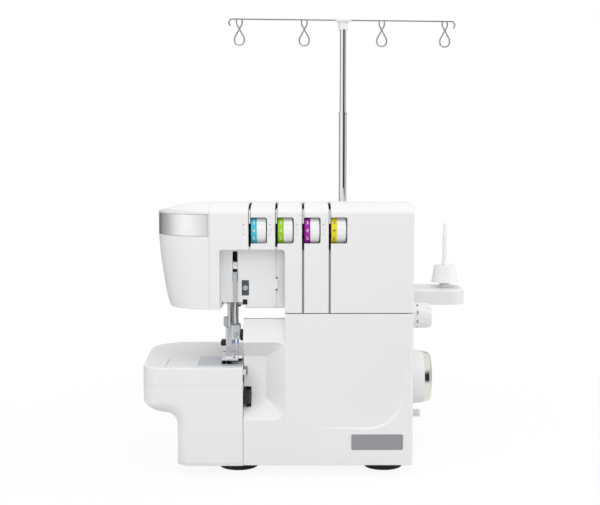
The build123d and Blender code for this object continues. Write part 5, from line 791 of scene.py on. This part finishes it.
class SERGER_OT_dial_figures(bpy.types.Operator):
    """Print the figures on the four tension dials"""

    bl_idname = "serger.dial_figures"
    bl_label = "Dial Figures"

    def execute(self, context):
        marks, paint = marks_and_colours(context.scene)
        white, dark = ink("white_ink", paint.ink_white), ink("dark_ink", paint.ink_dark)
        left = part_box("tension_dial_1")[0].x
        texts = [(n - DIAL_FRONT, str(n)) for n in range(10)]
        first = drum_figures("dial_figures_1", texts, "tension_dial_1", left + DIAL_FIGURES,
                             marks.dial_figure, marks.dial_step, marks.ink)
        for n, name in enumerate(DIAL_COLOURS, 1):
            node = f"tension_dial_{n}"
            piece = first
            if n > 1:
                piece = place(copy_of(first, f"dial_figures_{n}"), (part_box(node)[0].x - left, 0, 0))
            dress(piece, dark if name == "yellow" else white, node)
        return {"FINISHED"}


class SERGER_OT_stitch_figures(bpy.types.Operator):
    """Print the figures on the stitch length dial"""

    bl_idname = "serger.stitch_figures"
    bl_label = "Stitch Figures"

    def execute(self, context):
        marks, paint = marks_and_colours(context.scene)
        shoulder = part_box("stitch_length_dial")[1].x - STITCH_SHOULDER
        piece = drum_figures("stitch_figures", STITCH_TEXTS, "stitch_length_dial",
                             shoulder + STITCH_FIGURES, marks.stitch_figure, marks.stitch_step,
                             marks.ink, STITCH_BOLD)
        dress(piece, ink("navy_ink", paint.ink_navy), "stitch_length_dial")
        return {"FINISHED"}


def flat_bar(name, width, height, thickness):
    """Thin bar that faces the front, with its middle at the origin."""
    bar = begin(bpy.ops.mesh.primitive_plane_add, name, size=1.0)
    bar.scale = (width, height, 1.0)
    bpy.ops.object.transform_apply(scale=True)
    edit(bar)
    thicken(thickness)
    return stand_up(bar)


def flat_cross(name, width, bar, thickness):
    """Thin plus sign that faces the front, with its middle at the origin."""
    cross = begin(bpy.ops.mesh.primitive_grid_add, name,
                  x_subdivisions=3, y_subdivisions=3, size=1.0)
    for vert in edit(cross).verts:
        for axis in (0, 1):
            outer = abs(vert.co[axis]) > 0.4  # the grid's border lies at 0.5
            vert.co[axis] = math.copysign(width / 2 if outer else bar / 2, vert.co[axis])
    bmesh.update_edit_mesh(cross.data)

    def corner(face):
        at = face.calc_center_median()
        return min(abs(at.x), abs(at.y)) > bar / 2

    select_where(cross, "faces", corner)
    bpy.ops.mesh.delete(type="FACE")
    thicken(thickness)
    return stand_up(cross)


class SERGER_OT_tension_marks(bpy.types.Operator):
    """Print plus, line and minus beside each tension dial"""

    bl_idname = "serger.tension_marks"
    bl_label = "Tension Marks"

    def execute(self, context):
        marks, paint = marks_and_colours(context.scene)
        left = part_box("tension_dial_1")[0].x
        at = Vector((left - SLOT_FROM_DIAL - MARKS_FROM_SLOT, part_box("front_cover")[0].y,
                     middle("tension_dial_1").z))
        signs = ((flat_cross("plus", SIGN_WIDTH, SIGN_BAR, marks.ink), PLUS_UP),
                 (flat_bar("line", LINE_WIDTH, LINE_BAR, marks.ink), LINE_UP),
                 (flat_bar("minus", SIGN_WIDTH, SIGN_BAR, marks.ink), MINUS_UP))
        one = join([place(sign, at + Vector((0, 0, up))) for sign, up in signs], "tension_marks_1")
        sets = [one]
        for n in range(2, 5):
            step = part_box(f"tension_dial_{n}")[0].x - left
            sets.append(place(copy_of(one, f"tension_marks_{n}"), (step, 0, 0)))
        piece = join(sets, "tension_marks")
        dress(piece, ink("grey_ink", paint.ink_grey), "machine")
        return {"FINISHED"}


class SERGER_OT_switch_marks(bpy.types.Operator):
    """Print the on and off marks on the mains switch"""

    bl_idname = "serger.switch_marks"
    bl_label = "Switch Marks"

    def execute(self, context):
        marks, paint = marks_and_colours(context.scene)
        joint = next(j for j in frame["joints"] if j["name"] == "power_switch_rock")
        rest = -math.radians(joint["range_deg"][1]) / 2
        pieces = []
        for text, up in (("I", 1), ("O", -1)):
            mark = figure(text, SWITCH_FIGURE, 2 * marks.ink)
            place(mark, turn=(QUARTER, 0, QUARTER))
            place(mark, turn=(0, -SWITCH_LEAN * up, 0))
            place(mark, (SWITCH_FACE, 0, up * SWITCH_HALF / 2))
            pieces.append(place(mark, Vector(joint["pos_m"]), (0, rest, 0)))
        piece = tidy_mesh(join(pieces, "switch_marks"))
        dress(piece, ink("switch_ink", paint.ink_white), "power_switch")
        return {"FINISHED"}


# Small fittings

DOT_THICKNESS = 0.12 * MM
DOT_INSET, DOT_DOME = 0.3, 0.5  # shares of a dot's radius and thickness
GREEN_DOT_DOWN = 2.6 * MM  # below the take-up block's top
BLUE_DOT_DOWN = 1.5 * MM  # below the guide strip's top
EYE_RADIUS = 0.95 * MM
EYE_FROM_RIGHT = 1.3 * MM  # eyes of the thread clip, from its right side
EYE_OUT = 1.2 * MM  # before the recess wall
EYES_UP = (25.5 * MM, 13.2 * MM)  # over the foot of the thread guides
PAD_THICKNESS = 0.8 * MM
# Black pads: width, height, and place right of and over the corner of the thread guides
PADS = (
    ("thread_pad", 4.6 * MM, 5.2 * MM, 12.5 * MM, 0.1 * MM),
    ("thread_stop", 3.4 * MM, 1.8 * MM, 6.5 * MM, -3.8 * MM),
)
HOOK_BACK, HOOK_UP = 4.0 * MM, 7.4 * MM  # root of the wire guide on the needle clamp
# Line of the wire guide in millimetres, from its root at the clamp's left side
HOOK_LINE = ((0.8, 0.0, 0.0), (-1.2, 0.0, 0.2), (-3.0, 0.0, 1.0), (-3.4, 0.0, -1.2),
             (-1.6, -0.6, -2.0), (-1.9, -1.2, -4.0), (-3.3, -1.4, -4.6))
SCREW_HEIGHT, SCREW_ROUND = 1.6 * MM, 0.9 * MM
SCREW_SLACK = 0.1 * MM  # reach below the head's top in which its rim is looked for
CROSS_FLOOR, CROSS_HEIGHT = 0.7 * MM, 2.0 * MM  # foot of the cross's cutter, and its height
CROSS_WIDTH, CROSS_BAR = 1.15, 0.26  # shares of the head's radius
SCREW_SUNK = 0.4 * MM
SCREW_RIGHT, SCREW_LEFT = 14 * MM, 122 * MM  # from the rear cover's right side
SCREW_FURTHER = 40 * MM  # lower left screw, left of the upper one
SCREW_UPPER = 88 * MM  # over the upper rear cover's foot
SCREW_LOW, SCREW_MIDDLE = 20 * MM, 118 * MM  # over the lower rear cover's foot


def round_dot(name, radius):
    """Domed dot that faces the front, with its back at the origin."""
    dot = begin(bpy.ops.mesh.primitive_circle_add, name,
                vertices=24, radius=radius, fill_type="NGON")
    edit(dot)
    thicken(DOT_THICKNESS)
    bpy.ops.mesh.inset(thickness=radius * DOT_INSET, depth=DOT_THICKNESS * DOT_DOME)
    return stand_up(dot)


class SERGER_OT_thread_dots(bpy.types.Operator):
    """Set the coloured threading dots on the take-up block and the guide strip"""

    bl_idname = "serger.thread_dots"
    bl_label = "Thread Dots"

    def execute(self, context):
        marks, paint = marks_and_colours(context.scene)
        x = middle("needle_clamp").x
        green = round_dot("green_thread_dot", marks.dot)
        blue = copy_of(green, "blue_thread_dot")
        low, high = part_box("take_up_lever")
        place(green, (x, low.y, high.z - GREEN_DOT_DOWN))
        dress(green, ink("green_dot_ink", paint.dial_two), "needle_bar")
        low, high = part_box("thread_guides")
        place(blue, (x, low.y, high.z - BLUE_DOT_DOWN))
        dress(blue, ink("blue_dot_ink", paint.dial_one), "machine")
        return {"FINISHED"}


class SERGER_OT_recess_fittings(bpy.types.Operator):
    """Set the dark eyes of the thread clip and the black pads at the foot of the head's recess"""

    bl_idname = "serger.recess_fittings"
    bl_label = "Recess Fittings"

    def execute(self, context):
        shade = context.scene.serger_colours.shade
        black = plastic("pad_black", shade, gloss=(0.4, 0.55), drift=0.2)
        low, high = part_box("thread_guides")
        wall = low.y + RECESS_WALL
        eye = round_dot("clip_eye_1", EYE_RADIUS)
        pieces = [eye, copy_of(eye, "clip_eye_2")]
        for piece, up in zip(pieces, EYES_UP):
            place(piece, (high.x - EYE_FROM_RIGHT, wall - EYE_OUT, low.z + up))
        for name, width, height, right, up in PADS:
            pad = flat_bar(name, width, height, PAD_THICKNESS)
            pieces.append(place(pad, (low.x + right, wall, low.z + up)))
        for piece in pieces:
            dress(piece, black, "machine")
        return {"FINISHED"}


def wire(name, points, radius):
    """Round wire that follows a smooth line."""
    path = begin(bpy.ops.curve.primitive_nurbs_path_add, name)
    spline = path.data.splines[0]
    spline.points.add(len(points) - len(spline.points))
    for point, at in zip(spline.points, points):
        point.co = (*at, 1.0)
    spline.order_u = 3
    spline.use_endpoint_u = True
    spline.resolution_u = 6
    path.data.bevel_depth = radius
    path.data.bevel_resolution = 3
    path.data.use_fill_caps = True
    bpy.ops.object.convert(target="MESH")
    return smooth(tidy_mesh(bpy.context.object), 50)


class SERGER_OT_wire_guides(bpy.types.Operator):
    """Bend the small wire guide beside the needle clamp"""

    bl_idname = "serger.wire_guides"
    bl_label = "Wire Guides"

    def execute(self, context):
        marks, paint = marks_and_colours(context.scene)
        steel = metal("wire_steel", paint.steel, gloss=(0.08, 0.16), scratch=(3600, 3600, 60))
        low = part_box("needle_clamp")[0]
        y, z = low.y + HOOK_BACK, low.z + HOOK_UP
        points = [(low.x + right * MM, y + back * MM, z + up * MM) for right, back, up in HOOK_LINE]
        dress(wire("clamp_wire_guide", points, marks.wire), steel, "needle_bar")
        return {"FINISHED"}


def cross_screw(name, radius):
    """Pan-head screw with a cross recess that faces the back."""
    head = begin(bpy.ops.mesh.primitive_cylinder_add, name,
                 vertices=40, radius=radius, depth=SCREW_HEIGHT)
    place(head, (0, 0, SCREW_HEIGHT / 2))
    edit(head)
    rim = SCREW_HEIGHT - SCREW_SLACK
    select_where(head, "edges", lambda edge: min(v.co.z for v in edge.verts) > rim)
    bpy.ops.mesh.bevel(offset=SCREW_ROUND, segments=4, affect="EDGES")
    bpy.ops.object.mode_set(mode="OBJECT")
    cutter = flat_cross("cross_cutter", radius * CROSS_WIDTH, radius * CROSS_BAR, CROSS_HEIGHT)
    place(cutter, turn=(-QUARTER, 0, 0))
    place(cutter, (0, 0, CROSS_FLOOR))
    only(head)
    cut = head.modifiers.new("Cross", "BOOLEAN")
    cut.object, cut.operation, cut.solver = cutter, "DIFFERENCE", "EXACT"
    bpy.ops.object.modifier_apply(modifier=cut.name)
    bpy.data.objects.remove(cutter)
    place(tidy_mesh(head), turn=(-QUARTER, 0, 0))
    return smooth(head, 30)


class SERGER_OT_cover_screws(bpy.types.Operator):
    """Set the screws of the rear covers"""

    bl_idname = "serger.cover_screws"
    bl_label = "Cover Screws"

    def execute(self, context):
        marks, paint = marks_and_colours(context.scene)
        steel = metal("screw_zinc", paint.steel, gloss=(0.22, 0.38), scratch=(1500, 1500, 1500))
        low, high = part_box("rear_cover_lower")
        right, left, y = high.x - SCREW_RIGHT, high.x - SCREW_LEFT, high.y - SCREW_SUNK
        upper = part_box("rear_cover_upper")[0].z + SCREW_UPPER
        places = [(right, y, upper), (left, y, upper), (right, y, low.z + SCREW_LOW),
                  (left - SCREW_FURTHER, y, low.z + SCREW_LOW), (right, y, low.z + SCREW_MIDDLE)]
        one = cross_screw("cover_screw_1", marks.screw)
        screws = [one] + [copy_of(one, f"cover_screw_{n}") for n in range(2, len(places) + 1)]
        for screw, at in zip(screws, places):
            dress(place(screw, at), steel, "machine")
        return {"FINISHED"}


# Stage

# Bearing from the camera side, right positive, and the level that metal sees there
STUDIO_SIDES = (
    (-180, 1.0), (-163, 0.95), (-150, 0.2), (-138, 0.14), (-121, 0.3), (-94, 0.5), (-70, 0.85),
    (-56, 1.0), (-38, 0.97), (-10, 0.72), (3, 0.58), (6, 0.02), (46, 0.02), (56, 0.35), (70, 0.62),
    (90, 0.6), (130, 0.5), (160, 0.75), (180, 1.0),
)
STEEP = (0.34, 0.62)  # rise at which the sides begin to give way to the open studio, and end
OPEN_STUDIO = (0.9, 0.9, 0.9, 1)
FLOOR_SIZE = 30.0
FLOOR_LIT = (0.6, 0.6, 0.6, 1)  # floor as it throws light back on the object
FLOOR_SEEN = (0.95, 0.95, 0.95, 1)
FLOOR_EYE = (0, 0, 0.25)  # place that the floor's bearings are taken from
FLOOR_FADE = (0.2, 0.6)  # distances between which the shadow fades out
FLOOR_WHITE = 0.91  # share of plain white under the object
# Name, place, target and width of each lamp. Its power is the setting named by its first word
LAMPS = (
    ("left_lamp", (-1.3, -1.5, 1.2), (0.0, -0.03, 0.18), 1.2),
    ("side_lamp", (1.7, 0.1, 0.7), (0.1, 0.0, 0.2), 1.0),
    ("front_lamp", (0.1, -2.2, 0.5), (0.0, -0.05, 0.2), 1.2),
    ("near_lamp", (0.1, -0.55, 0.9), (0.0, -0.05, 0.25), 0.5),
    ("top_lamp", (0.1, 0.1, 2.0), (0.0, -0.03, 0.18), 1.4),
)
SENSOR_WIDTH = 36.0
CLIP_END = 60.0


def seen_share(tree, *kinds):
    """1 for the given kinds of ray and 0 for light on the object."""
    path = add_node(tree, "LightPath").outputs
    total = path[kinds[0]]
    for kind in kinds[1:]:
        total = maths(tree, "ADD", total, path[kind])
    return maths(tree, "MINIMUM", total, 1.0)


def sides_group():
    """Level of the studio's sides by the bearing of a direction or place, for metal to show."""
    tree, given, result = new_group(
        "studio_sides", [("Way", VECTOR, (0, -1, 0))], [("Color", COLOUR)])
    way = vector_maths(tree, "NORMALIZE", given["Way"])
    along = add_node(tree, "SeparateXYZ", {0: way}).outputs
    bearing = maths(tree, "ARCTAN2", along["X"], maths(tree, "MULTIPLY", along["Y"], -1.0))
    turn = ranged(tree, bearing, -math.pi, math.pi, 0.0, 1.0)
    ramp = add_node(tree, "ValToRGB", {0: turn})
    stops = ramp.color_ramp.elements
    for degrees, grey in STUDIO_SIDES:
        share = (degrees + 180) / 360
        stop = {0.0: stops[0], 1.0: stops[-1]}.get(share) or stops.new(share)
        stop.color = rgba((grey, grey, grey))
    steep = ranged(tree, maths(tree, "ABSOLUTE", along["Z"]), *STEEP, 0.0, 1.0)
    shown = between(tree, steep, ramp.outputs["Color"], OPEN_STUDIO)
    tree.links.new(shown, result["Color"])
    return tree


def white_floor(sides):
    """Wide floor whose lit white keeps the object's shadow and goes to plain white further out."""
    floor = begin(bpy.ops.mesh.primitive_grid_add, "floor",
                  x_subdivisions=8, y_subdivisions=8, size=FLOOR_SIZE)
    material = bpy.data.materials.new("floor_white")
    tree = empty_tree(material)
    seen = seen_share(tree, "Is Camera Ray", "Is Glossy Ray", "Is Transmission Ray")
    paper = add_node(tree, "BsdfDiffuse", {
        "Color": between(tree, seen, FLOOR_LIT, FLOOR_SEEN)})
    here = object_place(tree)
    down = vector_maths(tree, "SUBTRACT", here, FLOOR_EYE)
    shaded = add_node(tree, "Group", {"Way": down}, node_tree=sides).outputs["Color"]
    tone = between(tree, seen_share(tree, "Is Glossy Ray"), WHITE, shaded)
    glow = add_node(tree, "Emission", {"Color": tone, "Strength": 1.0})
    plain = ranged(tree, vector_maths(tree, "LENGTH", here), *FLOOR_FADE, FLOOR_WHITE, 1.0)
    share = maths(tree, "MULTIPLY", seen, plain)
    mixed = add_node(tree, "MixShader", {0: share, 1: paper.outputs[0], 2: glow.outputs[0]})
    add_node(tree, "OutputMaterial", {"Surface": mixed.outputs[0]})
    floor.data.materials.append(material)


def studio_world(sky, sides):
    """Even light under a white backdrop, with the shaded sides of a studio for metal to show."""
    world = bpy.data.worlds.new("studio")
    tree = empty_tree(world)
    way = add_node(tree, "TexCoord").outputs["Generated"]
    shaded = add_node(tree, "Group", {"Way": way}, node_tree=sides).outputs["Color"]
    even = between(tree, seen_share(tree, "Is Glossy Ray"), rgba((sky, sky, sky)), shaded)
    shown = between(tree, seen_share(tree, "Is Camera Ray", "Is Transmission Ray"), even, WHITE)
    light = add_node(tree, "Background", {"Color": shown, "Strength": 1.0})
    add_node(tree, "OutputWorld", {"Surface": light.outputs[0]})
    return world


def lamp(name, at, target, energy, width):
    """Square soft lamp that points at a target."""
    clear_selection()
    bpy.ops.object.light_add(type="AREA", location=at)
    light = bpy.context.object
    light.name = name
    light.data.energy = energy
    light.data.size = width
    light.rotation_euler = (Vector(target) - Vector(at)).to_track_quat("-Z", "Y").to_euler()
    light.visible_glossy = False


class SERGER_OT_stage(bpy.types.Operator):
    """Set up the floor, light and camera"""

    bl_idname = "serger.stage"
    bl_label = "Stage"

    def execute(self, context):
        stage = context.scene.serger_stage
        sides = sides_group()
        white_floor(sides)
        context.scene.world = studio_world(stage.sky, sides)
        for name, at, target, width in LAMPS:
            lamp(name, at, target, getattr(stage, name.split("_")[0]), width)
        clear_selection()
        bpy.ops.object.camera_add(location=stage.camera_place)
        camera = context.object
        camera.name = "camera"
        camera.rotation_euler = (QUARTER - stage.camera_pitch, 0, -stage.camera_yaw)
        camera.data.sensor_fit = "HORIZONTAL"
        camera.data.sensor_width = SENSOR_WIDTH
        camera.data.lens = stage.camera_lens
        camera.data.shift_x, camera.data.shift_y = stage.camera_shift
        camera.data.clip_end = CLIP_END
        context.scene.camera = camera
        context.scene.view_settings.view_transform = "Standard"
        return {"FINISHED"}


class SERGER_PT_looks(bpy.types.Panel):
    """Steps, colours and sizes of the serger's looks"""

    bl_idname = "SERGER_PT_looks"
    bl_label = "Serger Looks"
    bl_space_type = "VIEW_3D"
    bl_region_type = "UI"
    bl_category = "Serger"

    def draw(self, context):
        column = self.layout.column(align=True)
        for step in STEPS:
            column.operator(step.bl_idname)
        for name in SETTINGS:
            settings = getattr(context.scene, name)
            box = self.layout.box()
            for setting in settings.__annotations__:
                box.prop(settings, setting)


STEPS = (
    SERGER_OT_finishes,
    SERGER_OT_dial_figures,
    SERGER_OT_stitch_figures,
    SERGER_OT_tension_marks,
    SERGER_OT_switch_marks,
    SERGER_OT_thread_dots,
    SERGER_OT_recess_fittings,
    SERGER_OT_wire_guides,
    SERGER_OT_cover_screws,
    SERGER_OT_stage,
)
SETTINGS = {
    "serger_colours": SergerColours,
    "serger_marks": SergerMarks,
    "serger_stage": SergerStage,
}
CLASSES = (*SETTINGS.values(), *STEPS, SERGER_PT_looks)


def register():
    """Registers the settings, steps and panel."""
    for item in CLASSES:
        bpy.utils.register_class(item)
    for name, settings in SETTINGS.items():
        setattr(bpy.types.Scene, name, bpy.props.PointerProperty(type=settings))


def unregister():
    """Takes the settings, steps and panel away."""
    for name in SETTINGS:
        delattr(bpy.types.Scene, name)
    for item in reversed(CLASSES):
        bpy.utils.unregister_class(item)


def main():
    """Runs every step in order."""
    register()
    for step in STEPS:
        group, name = step.bl_idname.split(".")
        getattr(getattr(bpy.ops, group), name)()


if __name__ == "__main__":
    main()
